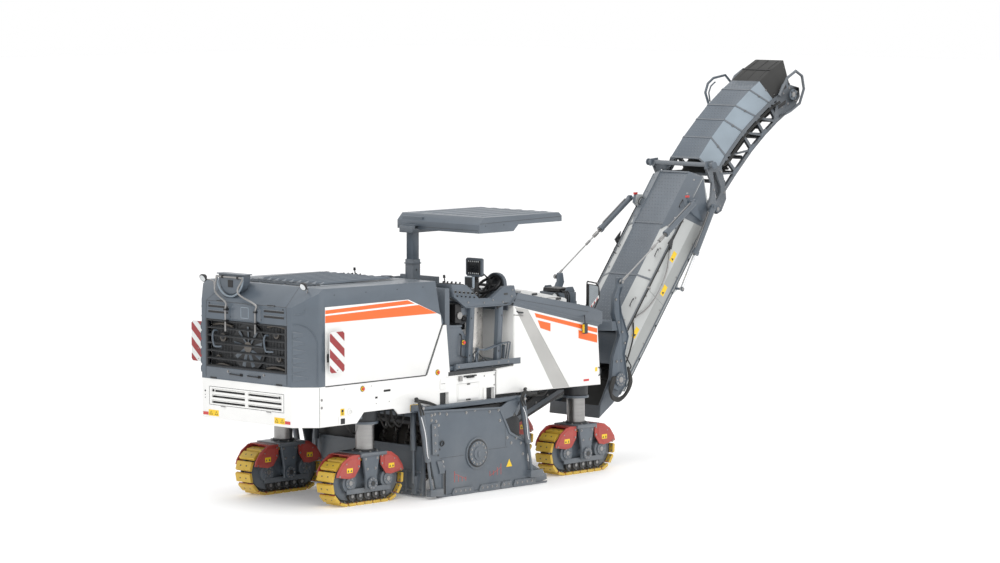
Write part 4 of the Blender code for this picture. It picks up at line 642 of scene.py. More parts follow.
def milling_details():
    """Housing ribs, scraper ribs and rods, and the clutter in front of the drum chamber."""
    ribs = Piece("scraper_ribs", "scraper_blade", "slate_paint", SLATE, STEEL)
    for y in (-0.80, -0.55, -0.28, 0.28, 0.55, 0.80):
        ribs.use(0).box(0.815, 0.842, y - 0.012, y + 0.012, 0.06, 0.36)
    for z in (0.10, 0.36):
        ribs.use(0).box(0.822, 0.842, -1.08, 1.08, z - 0.012, z + 0.012)
    for y in (-1.08, -0.9, -0.7, -0.42, -0.14, 0.14, 0.42, 0.7, 0.9, 1.08):
        ribs.use(1).bolt((0.840, y, 0.045), (-1, 0, 0), 0.012)
    ribs.done()
    trim = Piece("housing_trim", "machine", "dark_paint", DARK, STEEL, SLATE, RUBBER)
    for y in (-0.9, -0.45, 0.0, 0.45, 0.9):
        trim.use(0).box(1.25, 2.42, y - 0.012, y + 0.012, 1.195, 1.215)
    for s in (-1, 1):
        for x in (1.0, 1.35, 1.7, 2.05, 2.4, 2.6):
            trim.use(1).bolt((x, s * 1.16 + (-0.02 if s < 0 else 0), 1.02), (0, s, 0), 0.013)
        # Slanted brace between the body and the housing's front.
        trim.use(2).strip([(2.70, s * 1.0, 0.86), (3.06, s * 0.98, 1.335)], 0.035, 0.03, ACROSS)
    for i, y in enumerate((-0.82, -0.72, 0.74, 0.86)):
        trim.use(3).hose([(2.72, y, 0.80 + 0.03 * i), (2.90, y, 0.92), (3.15, y * 0.97, 1.12 - 0.03 * i),
                          (3.30, y * 0.95, 1.335)], 0.016, 6)
    for i, y in enumerate((-0.92, -0.78, -0.66, 0.66, 0.78, 0.92)):
        trim.use(3).hose([(0.66, y, 1.31), (0.65, y, 1.12), (0.56, y, 1.02 - 0.02 * i),
                          (0.47, y * 0.98, 1.12),
                          (0.42, y * 0.97, 1.31)], 0.014, 6)
    trim.use(2).rod((2.95, -0.70, 0.98), (2.95, 0.70, 0.98), 0.045, 18)
    trim.done(EDGE)


# ---------------------------------------------------------------- rear face
def rear_face():
    """Louvres, their frame and latches, reflectors, gasket and seams of the white band."""
    x = REAR_X
    rear = Piece("rear_louvres", "machine", "white_paint", WHITE, BLACK, DARK, LABEL, REFLECTOR, STEEL)
    rear.use(1).box(x + 0.034, x + 0.046, -0.74, 0.74, 1.355, 1.62)
    for row in range(3):
        z = 1.385 + row * 0.078
        for y0, y1 in ((-0.705, -0.025), (0.025, 0.705)):
            rear.use(0).shell([(x - 0.006, y0, z + 0.036), (x + 0.030, y0, z + 0.052),
                               (x + 0.030, y0, z + 0.047),
                               (x - 0.006, y0, z + 0.030), (x - 0.006, y1, z + 0.036),
                               (x + 0.030, y1, z + 0.052),
                               (x + 0.030, y1, z + 0.047), (x - 0.006, y1, z + 0.030)],
                              [[0, 1, 2, 3], [7, 6, 5, 4], [0, 4, 5, 1], [1, 5, 6, 2], [2, 6, 7, 3],
                               [3, 7, 4, 0]])
    for z in (1.362, 1.613):
        rear.use(2).box(x - 0.0018, x + 0.004, -0.748, 0.748, z - 0.0028, z + 0.0028)
    for y in (-0.748, 0.748):
        rear.use(2).box(x - 0.0018, x + 0.004, y - 0.0028, y + 0.0028, 1.362, 1.613)
    for y, z in ((0.66, 1.562), (-0.67, 1.562)):
        rear.use(0).rod((x - 0.004, y, z), (x + 0.01, y, z), 0.028, 20)
        rear.use(1).rod((x - 0.010, y, z), (x - 0.002, y, z), 0.019, 16)
        rear.use(1).box(x - 0.013, x - 0.006, y - 0.005, y + 0.005, z - 0.016, z + 0.016)
    for y in (-0.46, 0.46):
        rear.use(0).box(x - 0.008, x + 0.004, y - 0.05, y + 0.05, 1.345, 1.363)
        rear.use(5).rod((x - 0.009, y - 0.045, 1.352), (x - 0.009, y + 0.045, 1.352), 0.008, 10)
        rear.use(0).box(x - 0.006, x + 0.004, y - 0.032, y + 0.032, 1.318, 1.346)
    for s in (-1, 1):
        rear.use(3).box(x - 0.0018, x + 0.002, *span(s, 0.56, 0.765), 1.205, 1.290)
        for at in (0.607, 0.715):
            rear.use(1).gate([(s * at - 0.034, 1.222), (s * at + 0.034, 1.222), (s * at, 1.276)], x - 0.0026,
                             x - 0.001)
            rear.use(3).gate([(s * at - 0.022, 1.229), (s * at + 0.022, 1.229), (s * at, 1.264)], x - 0.0032,
                             x - 0.002)
        rear.use(4).box(x - 0.0045, x + 0.002, *span(s, 0.772, 0.875), 1.212, 1.254)
    for z in (1.45, 1.49, 1.545):
        rear.use(2).rod((x - 0.002, 0.835, z), (x + 0.002, 0.835, z), 0.007 if z < 1.5 else 0.014, 12)
    rear.done(FINE_EDGE)

    seams = Piece("body_seams", "machine", "dark_paint", DARK, BLACK, WHITE, STEEL, LABEL)
    for s in (-1, 1):
        face = s * BODY

        def pair(a, b):
            return sorted((face + s * a, face + s * b))

        seams.use(0).box(-1.183, -1.177, *pair(-0.004, 0.0015), 1.17, 1.712)
        for z in (1.437, 1.543):
            seams.use(3).bolt((-1.140, face, z), (0, s, 0), 0.013, 0.006)
        # Gasket line under the hood.
        seams.use(0).box(-1.07, 0.853, *pair(-0.003, 0.003), 1.712, 1.7275)
        seams.use(0).strip([(0.853, face + s * 0.001, 1.722), (1.176, face + s * 0.001, 2.404),
                            (1.262, face + s * 0.001, 2.404)], 0.003, 0.0075, (0, s, 0))
        seams.use(1).box(0.035, 0.165, *pair(-0.004, 0.0018), 1.558, 1.588)
        seams.use(1).box(-0.130, -0.085, *pair(-0.004, 0.003), 1.480, 1.506)
        for x, z in ((-0.11, 1.41), (0.14, 1.42), (-0.2, 1.66), (-0.72, 1.66)):
            seams.use(3).rod((x, face - s * 0.002, z), (x, face + s * 0.002, z), 0.008, 12)
        # Lower return of the skirt, and a square tow pocket with its plate and ring.
        seams.use(2).box(-0.825, -0.685, *pair(-0.003, 0.010), 1.172, 1.290)
        seams.use(1).box(-0.795, -0.715, *pair(-0.002, 0.0115), 1.185, 1.262)
        seams.use(2).ring((-0.615, face + s * 0.008, 1.340), ACROSS, 0.038, 0.010, 20)
        seams.use(4).box(-0.790, -0.715, *pair(-0.002, 0.0018), 1.300, 1.395)
        seams.use(1).box(-0.772, -0.733, *pair(-0.001, 0.0026), 1.315, 1.330)
        seams.use(1).box(-0.772, -0.733, *pair(-0.001, 0.0026), 1.342, 1.382)
        seams.use(4).box(0.545, 0.715, *pair(-0.002, 0.0018), 1.248, 1.335)
        seams.use(1).ring((0.590, face + s * 0.0008, 1.292), ACROSS, 0.024, 0.0025, 18)
        seams.use(0).box(0.640, 0.695, *pair(-0.001, 0.0026), 1.265, 1.315)
        # Emergency stop buttons and the small lamp by the service box.
        for x, z in ((-0.371, 1.635), (1.085, 1.745)):
            seams.use(4).rod((x, face - s * 0.002, z), (x, face + s * 0.012, z), 0.034, 22)
            seams.use(1).rod((x, face - s * 0.002, z), (x, face + s * 0.006, z), 0.040, 22)
    seams.done(0.0008)
    stops = Piece("stop_buttons", "machine", "red_guard", REFLECTOR)
    for s in (-1, 1):
        for x, z in ((-0.371, 1.635), (1.085, 1.745)):
            stops.rod((x, s * (BODY + 0.010), z), (x, s * (BODY + 0.026), z), 0.020, 20, 0.023)
            stops.rod((x, s * (BODY + 0.025), z), (x, s * (BODY + 0.031), z), 0.023, 20, 0.016)
    stops.done(FINE_EDGE)


# ---------------------------------------------------------------- hood
ROOF_Z = 3.05
FOOT_Z = 2.80


def slope_point(t, y, lift=0.0):
    """A point on the slope behind the roof: t from its foot (0) to the roof (1)."""
    a, b = Vector((REAR_X, 0, FOOT_Z)), Vector((-1.11, 0, ROOF_Z))
    n = Vector((a.z - b.z, 0, b.x - a.x)).normalized()
    p = a.lerp(b, t) + n * lift
    return (p.x, y, p.z)


def chamfer_point(t, z, lift=0.0):
    """A point on the right chamfered corner: t from the rear face (0) to the side (1)."""
    a, b = Vector((REAR_X, -0.90, 0)), Vector((-1.19, -1.16, 0))
    n = Vector((a.y - b.y, b.x - a.x, 0)).normalized() * -1
    p = a.lerp(b, t) + n * lift
    return (p.x, p.y, z)


def hood_details():
    """Seams, blank frame, slots, grille bars, fan, hooks, handles, scallops, ribs, lamps."""
    x = REAR_X
    lines = Piece("hood_seams", "hood", "dark_paint", DARK, BLACK, SLATE)
    for s in (-1, 1):
        lines.use(0).strip([(x - 0.0006, s * 0.815, 1.74), (x - 0.0006, s * 0.815, 2.56),
                            (x - 0.0006, s * 0.80, 2.80)],
                           0.0028, 0.0012, ACROSS)
        lines.use(0).strip([slope_point(0.0, s * 0.80, 0.0006), slope_point(1.0, s * 0.70, 0.0006)], 0.0028,
                           0.0012,
                           ACROSS)
        for i in range(2):
            z = 2.635 + i * 0.075
            lines.use(1).box(x - 0.0016, x + 0.003, *span(s, 0.36, 0.76), z, z + 0.032)
            lines.use(2).box(x - 0.007, x + 0.002, *span(s, 0.355, 0.765), z + 0.030, z + 0.038)
        # Split hinges at the foot of the slope.
        lines.use(2).box(x - 0.010, x + 0.02, *span(s, 0.44, 0.58), 2.792, 2.812)
        lines.use(1).rod((x - 0.006, s * 0.44, 2.806), (x - 0.006, s * 0.58, 2.806), 0.008, 12)
        for y, z in ((0.74, 2.765), (0.30, 2.60)):
            lines.use(1).rod((x - 0.002, s * y, z), (x + 0.002, s * y, z), 0.012, 14)
    lines.use(0).box(x - 0.0012, x + 0.002, -0.80, 0.80, 2.7965, 2.8025)
    lines.done(SHARP)

    skin = Piece("hood_rear_fittings", "hood", "slate_paint", SLATE, DARK, BLACK, PALE, STEEL)
    # Raised middle that carries a blank framed square.
    skin.use(0).shell([(x - 0.001, -0.30, 2.565), (x - 0.001, 0.30, 2.565), (x - 0.001, 0.30, 2.74),
                       (x - 0.001, 0.21, 2.79), (x - 0.001, -0.21, 2.79), (x - 0.001, -0.30, 2.74),
                       (x - 0.022, -0.27, 2.575), (x - 0.022, 0.27, 2.575), (x - 0.022, 0.27, 2.73),
                       (x - 0.022, 0.19, 2.775), (x - 0.022, -0.19, 2.775), (x - 0.022, -0.27, 2.73)],
                      [[0, 1, 2, 3, 4, 5], [11, 10, 9, 8, 7, 6]] + [[i, (i + 1) % 6, 6 + (i + 1) % 6, 6 + i]
                                                                     for i in range(6)])
    for y0, y1, z0, z1 in ((-0.078, 0.078, 2.598, 2.606), (-0.078, 0.078, 2.744, 2.752),
                           (-0.078, -0.070, 2.598, 2.752), (0.070, 0.078, 2.598, 2.752)):
        skin.use(3).box(x - 0.0245, x - 0.020, y0, y1, z0, z1)
    # Lower flap with two handles.
    skin.use(0).box(x - 0.004, x + 0.002, -0.80, 0.80, 1.742, 1.880)
    for s in (-1, 1):
        y = s * 0.18 + 0.02
        skin.use(2).hose([(x - 0.004, y - 0.11, 1.812), (x - 0.032, y - 0.10, 1.812), (x - 0.036, y, 1.814),
                          (x - 0.032, y + 0.10, 1.816), (x - 0.004, y + 0.11, 1.816)], 0.009, 4, 8)
        skin.use(2).box(x - 0.014, x - 0.002, y - 0.135, y - 0.085, 1.795, 1.832)
        skin.use(4).bolt((x - 0.004, s * 0.36, 1.845), (-1, 0, 0), 0.013, 0.010)
        skin.use(2).box(x - 0.010, x, *span(s, 0.60, 0.72), 1.728, 1.748)
    # Two hooks that stand out in front of the grille.
    for y in (-0.49, 0.545):
        skin.use(0).hose([(x + 0.010, y + 0.05, 2.395), (x - 0.045, y + 0.055, 2.395),
                          (x - 0.075, y + 0.05, 2.33),
                          (x - 0.078, y + 0.02, 2.20), (x - 0.078, y - 0.04, 2.185),
                          (x - 0.078, y - 0.13, 2.19)],
                         0.013, 4, 8)
    # Scallops on both chamfered corners, under a hooded recess.
    for s in (-1, 1):
        for i in range(6):
            z = 1.845 + i * 0.118
            ring_a, ring_b = [], []
            for k in range(9):
                t = math.pi * k / 8
                a = chamfer_point(0.05, z + 0.052 * math.cos(t), 0.018 * math.sin(t))
                b = chamfer_point(0.60 - 0.03 * i, z + 0.016 * math.cos(t), 0.004 * math.sin(t))
                ring_a.append((a[0], a[1] * -s, a[2]))
                ring_b.append((b[0], b[1] * -s, b[2]))
            skin.use(0).shell(ring_a + ring_b,
                              [list(range(9)), list(range(17, 8, -1))]
                              + [[k, k + 1, 10 + k, 9 + k] for k in range(8)]
                              + [[8, 0, 9, 17]])
        line = [(0.02, 2.575), (0.35, 2.570), (0.72, 2.49), (0.93, 2.36), (0.955, 2.22), (0.95, 1.76)]
        pts = []
        for t, z in line:
            q = chamfer_point(t, z, 0.001)
            pts.append((q[0], q[1] * -s, q[2]))
        skin.use(0).hose(pts, 0.007, 4, 6)
        pts = []
        for t, z in ((0.40, 3.0), (0.46, 2.93), (0.52, 2.80), (0.40, 2.72), (0.10, 2.705)):
            q = chamfer_point(t, z, 0.0)
            pts.append((q[0], q[1] * -s, min(z, 2.78)))
        skin.use(0).hose(pts[2:], 0.008, 4, 6)
    skin.done(EDGE)

    # Grille: bars in front of the cooler, the fan and the parts that show through.
    grille = Piece("grille_bars", "hood", "dark_paint", DARK, BLACK)
    for i in range(7):
        z = 1.908 + i * 0.105
        grille.use(0).shell([(x - 0.010, -0.79, z - 0.004), (x + 0.030, -0.79, z + 0.014),
                             (x + 0.030, -0.79, z + 0.006),
                             (x - 0.010, -0.79, z - 0.012), (x - 0.010, 0.79, z - 0.004),
                             (x + 0.030, 0.79, z + 0.014),
                             (x + 0.030, 0.79, z + 0.006), (x - 0.010, 0.79, z - 0.012)],
                            [[0, 1, 2, 3], [7, 6, 5, 4], [0, 4, 5, 1], [1, 5, 6, 2], [2, 6, 7, 3],
                             [3, 7, 4, 0]])
    for y in (-0.79, 0.79):
        grille.use(0).box(x - 0.006, x + 0.03, y - 0.010, y + 0.010, 1.895, 2.545)
    grille.done(FINE_EDGE)
    inner = Piece("cooler_and_fan", "machine", "dark_paint", DARK, CAST, SLATE, BLACK)
    back = -1.362
    for i in range(26):
        y = -0.76 + i * 0.0608
        inner.use(0).box(back - 0.006, back + 0.002, y - 0.006, y + 0.006, 1.80, 2.60)
    inner.use(0).rod((back - 0.002, 0.0, 2.20), (back - 0.040, 0.0, 2.20), 0.33, 48)
    inner.use(3).rod((back - 0.034, 0.0, 2.20), (back - 0.044, 0.0, 2.20), 0.30, 48)
    inner.use(1).rod((back - 0.040, 0.0, 2.20), (back - 0.060, 0.0, 2.20), 0.075, 28)
    for i in range(9):
        t = 2 * math.pi * i / 9
        u, w = t + 0.24, t + 0.05
        inner.use(2).shell([(back - 0.044, 0.07 * math.cos(t), 2.20 + 0.07 * math.sin(t)),
                            (back - 0.058, 0.07 * math.cos(t + 0.5), 2.20 + 0.07 * math.sin(t + 0.5)),
                            (back - 0.060, 0.285 * math.cos(u), 2.20 + 0.285 * math.sin(u)),
                            (back - 0.046, 0.285 * math.cos(w), 2.20 + 0.285 * math.sin(w)),
                            (back - 0.046, 0.07 * math.cos(t), 2.20 + 0.07 * math.sin(t)),
                            (back - 0.055, 0.07 * math.cos(t + 0.5), 2.20 + 0.07 * math.sin(t + 0.5)),
                            (back - 0.057, 0.285 * math.cos(u), 2.20 + 0.285 * math.sin(u)),
                            (back - 0.043, 0.285 * math.cos(w), 2.20 + 0.285 * math.sin(w))],
                           [[0, 1, 2, 3], [7, 6, 5, 4], [0, 4, 5, 1], [1, 5, 6, 2], [2, 6, 7, 3],
                            [3, 7, 4, 0]])
    for y, z, r in ((-0.55, 2.40, 0.05), (-0.60, 2.08, 0.04), (0.52, 2.30, 0.06), (0.62, 2.02, 0.035)):
        inner.use(1).rod((back - 0.002, y, z), (back - 0.045, y, z), r, 22)
        inner.use(0).rod((back - 0.040, y, z), (back - 0.055, y, z), r * 0.5, 16)
    for y0, y1, z in ((-0.74, -0.36, 2.50), (0.34, 0.74, 2.46), (-0.72, -0.34, 1.93), (0.36, 0.70, 1.90)):
        inner.use(1).hose([(back - 0.02, y0, z), (back - 0.04, (y0 + y1) / 2, z + 0.03),
                           (back - 0.02, y1, z)],
                          0.018, 5)
    inner.done(FINE_EDGE)

    roof = Piece("hood_roof", "hood", "slate_paint", SLATE, DARK, BLACK)
    for i in range(9):
        y = -0.60 + i * 0.15
        roof.use(0).shell([(-0.62, y - 0.035, ROOF_Z - 0.002), (0.74, y - 0.035, ROOF_Z - 0.002),
                           (0.74, y + 0.035, ROOF_Z - 0.002), (-0.62, y + 0.035, ROOF_Z - 0.002),
                           (-0.56, y - 0.014, ROOF_Z + 0.026), (0.66, y - 0.014, ROOF_Z + 0.026),
                           (0.66, y + 0.014, ROOF_Z + 0.026), (-0.56, y + 0.014, ROOF_Z + 0.026)],
                          [[0, 1, 2, 3], [7, 6, 5, 4], [0, 4, 5, 1], [1, 5, 6, 2], [2, 6, 7, 3],
                           [3, 7, 4, 0]])
        roof.use(1).box(-0.60, 0.70, y + 0.050, y + 0.090, ROOF_Z - 0.002, ROOF_Z + 0.0015)
    vent_x = -1.02                        # first of the slots at the rear of the roof
    for y0 in (-0.72, -0.24, 0.24):
        for k in range(4):
            roof.use(1).box(vent_x + 0.08 * k, vent_x + 0.08 * k + 0.045, y0, y0 + 0.42, ROOF_Z - 0.002,
                            ROOF_Z + 0.0015)
            roof.use(0).box(vent_x + 0.08 * k + 0.038, vent_x + 0.08 * k + 0.050, y0, y0 + 0.42, ROOF_Z,
                            ROOF_Z + 0.014)
    for y in (-0.86, 0.86):
        roof.use(1).box(-1.08, 1.00, y - 0.003, y + 0.003, ROOF_Z - 0.002, ROOF_Z + 0.0012)
    roof.use(2).rod((0.82, -0.42, ROOF_Z - 0.004), (0.82, -0.42, ROOF_Z + 0.010), 0.10, 32)
    roof.use(0).rod((0.82, -0.42, ROOF_Z + 0.008), (0.82, -0.42, ROOF_Z + 0.020), 0.075, 32)
    # Edge line of the side, just over the white.
    for s in (-1, 1):
        roof.use(0).strip([(-1.066, s * 1.1585, 2.812), (0.524, s * 1.1585, 2.812),
                           (1.158, s * 1.1585, 2.556)],
                          0.004, 0.005, (0, s, 0))
        for px in (-0.9, -0.3, 0.3, 0.8):
            roof.use(1).rod((px, s * 1.159, 2.955), (px, s * 1.163, 2.955), 0.008, 12)
    roof.done(EDGE)

    lamps = Piece("hood_lamps", "hood", "black_rubber", BLACK, LENS, STEEL)
    for s in (-1, 1):
        foot = Vector((-1.19, s * 0.93, 2.985))
        lamps.use(2).hose([tuple(foot), tuple(foot + Vector((0, s * 0.02, 0.055))),
                           tuple(foot + Vector((-0.06, s * 0.07, 0.075))),
                           tuple(foot + Vector((-0.11, s * 0.07, 0.085)))],
                          0.009, 5, 8)
        centre = foot + Vector((-0.130, s * 0.075, 0.105))
        n = Vector((-0.88, 0, -0.46)).normalized()
        lamps.use(0).rod(tuple(centre - n * 0.040), tuple(centre), 0.030, 22, 0.058)
        lamps.use(0).rod(tuple(centre), tuple(centre + n * 0.022), 0.058, 22)
        lamps.use(1).rod(tuple(centre + n * 0.020), tuple(centre + n * 0.027), 0.050, 22, 0.044)
    lamps.done(EDGE)

    unit = Piece("air_unit_frame", "hood", "chrome_rod", PALE, BLACK, SLATE, STEEL)
    cy, cz, r = 0.40, 3.13, 0.25
    fx = -1.362
    bow = [(fx - 0.020, cy + a, cz + b) for a, b in arc(0, 0, r + 0.012, 178, 362, 18)]
    unit.use(0).pipe([(fx - 0.02, cy - r - 0.012, cz + 0.02)] + bow + [(fx - 0.02, cy + r + 0.012, cz + 0.02)],
                     0.014, 8)
    unit.use(3).pipe([(fx - 0.028, cy - 0.27, cz + 0.005), (fx - 0.028, cy + 0.27, cz + 0.005)], 0.013, 10)
    unit.use(2).gate([(cy + a * 0.86, cz - 0.01 + b * 0.86) for a, b in arc(0, 0, r, 180, 360, 18)],
                     fx - 0.008, fx + 0.004)
    unit.use(1).box(fx - 0.014, fx, cy - 0.05, cy + 0.05, cz - 0.135, cz - 0.035)
    unit.use(2).box(fx - 0.01, fx + 0.14, cy - 0.28, cy + 0.28, cz + 0.038, cz + 0.052)
    for i in range(7):
        unit.use(1).box(fx + 0.132, fx + 0.138, cy - 0.20, cy + 0.20, cz - 0.01 - 0.022 * i,
                        cz - 0.002 - 0.022 * i)
    for y in (cy - 0.17, cy + 0.14):
        unit.use(1).box(fx - 0.046, fx - 0.012, y - 0.014, y + 0.014, cz - 0.015, cz + 0.025)
    for s in (-1, 1):
        top_y = cy + s * 0.262
        low_y = cy + s * 0.30 - 0.33
        tube = [(fx - 0.028, top_y, cz + 0.005), (fx - 0.034, top_y, cz - 0.03),
                (fx - 0.085, top_y + s * -0.03, 2.93),
                (x - 0.040, low_y, 2.80), (x - 0.040, low_y, 2.70), (x - 0.040, low_y, 2.40)]
        unit.use(3).hose(tube, 0.013, 5, 10)
        for z in (2.70, 2.545):
            unit.use(1).box(x - 0.058, x + 0.002, low_y - 0.026, low_y + 0.026, z - 0.012, z + 0.012)
    unit.done(FINE_EDGE)


def hood_stripes():
    """Orange film on the white sides, warning boards and their brackets."""
    film = Piece("hood_stripes", "hood", "white_paint", ORANGE, WHITE)
    for s in (-1, 1):
        y = span(s, BODY - 0.002, BODY + 0.0012)
        film.use(0).prism([(-1.068, 2.585), (1.075, 2.572), (0.72, 2.712), (-1.068, 2.682)], *y)
        film.use(0).prism([(-1.068, 2.706), (0.640, 2.736), (0.500, 2.790), (-1.068, 2.757)], *y)
    film.done(SHARP)
    boards = Piece("warning_boards", "hood", "white_paint", BOARD, BOARD_RED, BLACK, STEEL)

    def board(place, across, up, normal):
        w, h, n = Vector(across), Vector(up), Vector(normal)
        c = Vector(place)
        half_w, half_h, cut = 0.141, 0.282, 0.030

        def at(a, b, lift):
            return tuple(c + w * a + h * b + n * lift)

        rim = [(-half_w + cut, -half_h), (half_w - cut, -half_h), (half_w, -half_h + cut),
               (half_w, half_h - cut),
               (half_w - cut, half_h), (-half_w + cut, half_h), (-half_w, half_h - cut),
               (-half_w, -half_h + cut)]
        boards.use(0).extruded(rim, -0.006, 0.006, at)
        for k in range(4):
            level = -0.282 + k * 0.222
            band = [(-half_w, level), (half_w, level - 0.245), (half_w, level - 0.125),
                    (-half_w, level + 0.120)]
            kept = clip_to(band, half_w - 0.004, half_h - 0.004, cut)
            if len(kept) > 2:
                boards.use(1).extruded(kept, 0.005, 0.0072, at)
        for a, b in ((0, -0.245), (0, -0.10), (0.012, -0.245), (0.012, -0.10)):
            boards.use(3).rod(at(a, b, 0.006), at(a, b, 0.010), 0.006, 8)

    board((-0.925, -1.235, 2.185), ALONG, UP, (0, -1, 0))
    boards.use(2).box(-1.040, -1.000, -1.232, -1.155, 2.05, 2.16)
    boards.use(2).box(-1.030, -0.98, -1.229, -1.205, 2.06, 2.15)
    boards.use(2).hose([(-1.02, -1.20, 2.07), (-1.01, -1.20, 1.99), (-0.965, -1.222, 1.95),
                        (-0.90, -1.225, 1.96)],
                       0.007, 5, 6)
    board((-1.215, 1.235, 2.185), (0, -1, 0), UP, (-1, 0, 0))
    boards.use(2).box(-1.209, -1.185, 1.09, 1.20, 2.10, 2.20)
    boards.done(0.0012)


def clip_to(polygon, half_w, half_h, cut):
    """The part of a polygon inside a rectangle with cut corners."""
    sides = [(1, 0, half_w), (-1, 0, half_w), (0, 1, half_h), (0, -1, half_h)]
    d = half_w + half_h - cut
    sides += [(a, b, d) for a in (-1, 1) for b in (-1, 1)]
    for nx, ny, limit in sides:
        made = []
        for i, p in enumerate(polygon):
            q = polygon[(i + 1) % len(polygon)]
            dp, dq = nx * p[0] + ny * p[1] - limit, nx * q[0] + ny * q[1] - limit
            if dp <= 0:
                made.append(p)
            if (dp < 0) != (dq < 0) and dp != dq:
                t = dp / (dp - dq)
                made.append((p[0] + (q[0] - p[0]) * t, p[1] + (q[1] - p[1]) * t))
        polygon = made
        if len(polygon) < 3:
            return []
    return polygon


def service_box():
    """Trims of the service box on each side; the right one has the door."""
    for name, s in SIDES:
        face = s * BODY

        def pair(a, b):
            return sorted((face + s * a, face + s * b))

        trim = Piece("service_trim_" + name, "machine", "white_paint", WHITE, DARK, BLACK, STEEL)
        for x0, x1, z0, z1 in ((1.126, 1.297, 1.27, 1.453), (2.058, 2.215, 1.25, 1.449)):
            trim.use(1).box(x0, x1, *pair(-0.060, -0.054), z0, z1)
            for a0, a1, b0, b1 in ((x0 - 0.010, x0, z0 - 0.01, z1 + 0.01),
                                   (x1, x1 + 0.010, z0 - 0.01, z1 + 0.01),
                                   (x0, x1, z0 - 0.01, z0), (x0, x1, z1, z1 + 0.01)):
                trim.use(0).box(a0, a1, *pair(-0.006, 0.006), b0, b1)
        trim.use(0).prism([(1.13, 1.50), (1.235, 1.50), (1.235, 1.625), (1.15, 1.645), (1.13, 1.62)],
                          *pair(-0.002, 0.012))
        trim.use(2).box(1.14, 1.225, *pair(0.010, 0.013), 1.575, 1.581)
        for x, z in ((1.15, 1.52), (1.215, 1.52), (1.15, 1.61), (1.215, 1.61), (2.02, 1.62), (2.22, 1.62),
                     (2.22, 1.48)):
            trim.use(3).bolt((x, face + s * 0.001, z), (0, s, 0), 0.008, 0.005)
        trim.use(0).box(1.99, 2.035, *pair(-0.002, 0.020), 1.23, 1.45)
        trim.use(0).strip([(1.24, face, 1.668), (2.243, face, 1.668)], 0.008, 0.006, (0, s, 0))
        trim.use(1).box(1.30, 2.20, *pair(-0.04, 0.002), 1.672, 1.730)
        trim.use(1).box(2.2415, 2.2465, *pair(-0.004, 0.0012), 1.235, 1.70)
        # Door holder and its lever, above the flap.
        trim.use(3).box(1.50, 1.56, *pair(-0.002, 0.028), 1.585, 1.655)
        trim.use(2).rod((1.60, face + s * 0.012, 1.645), (1.85, face + s * 0.012, 1.645), 0.010, 12)
        trim.use(2).box(1.66, 1.80, *pair(0.000, 0.024), 1.618, 1.640)
        if s > 0:
            for a0, a1, b0, b1 in ((1.47, 1.918, 1.300, 1.3035), (1.47, 1.918, 1.5445, 1.548),
                                   (1.47, 1.4735, 1.30, 1.548), (1.9145, 1.918, 1.30, 1.548)):
                trim.use(1).box(a0, a1, *pair(-0.002, 0.0012), b0, b1)
        trim.done(0.0012)
    latch = Piece("service_door_latch", "door", "black_rubber", BLACK, STEEL, WHITE)
    y = -BODY - 0.002
    latch.use(0).box(1.655, 1.733, y - 0.010, y + 0.002, 1.306, 1.324)
    latch.use(1).rod((1.675, y - 0.012, 1.315), (1.675, y - 0.006, 1.315), 0.007, 12)
    latch.use(0).box(1.67, 1.725, y - 0.012, y + 0.002, 1.525, 1.540)
    latch.use(2).prism([(1.50, 1.33), (1.89, 1.33), (1.89, 1.52), (1.50, 1.52)], y - 0.004, y + 0.001)
    latch.done(FINE_EDGE)


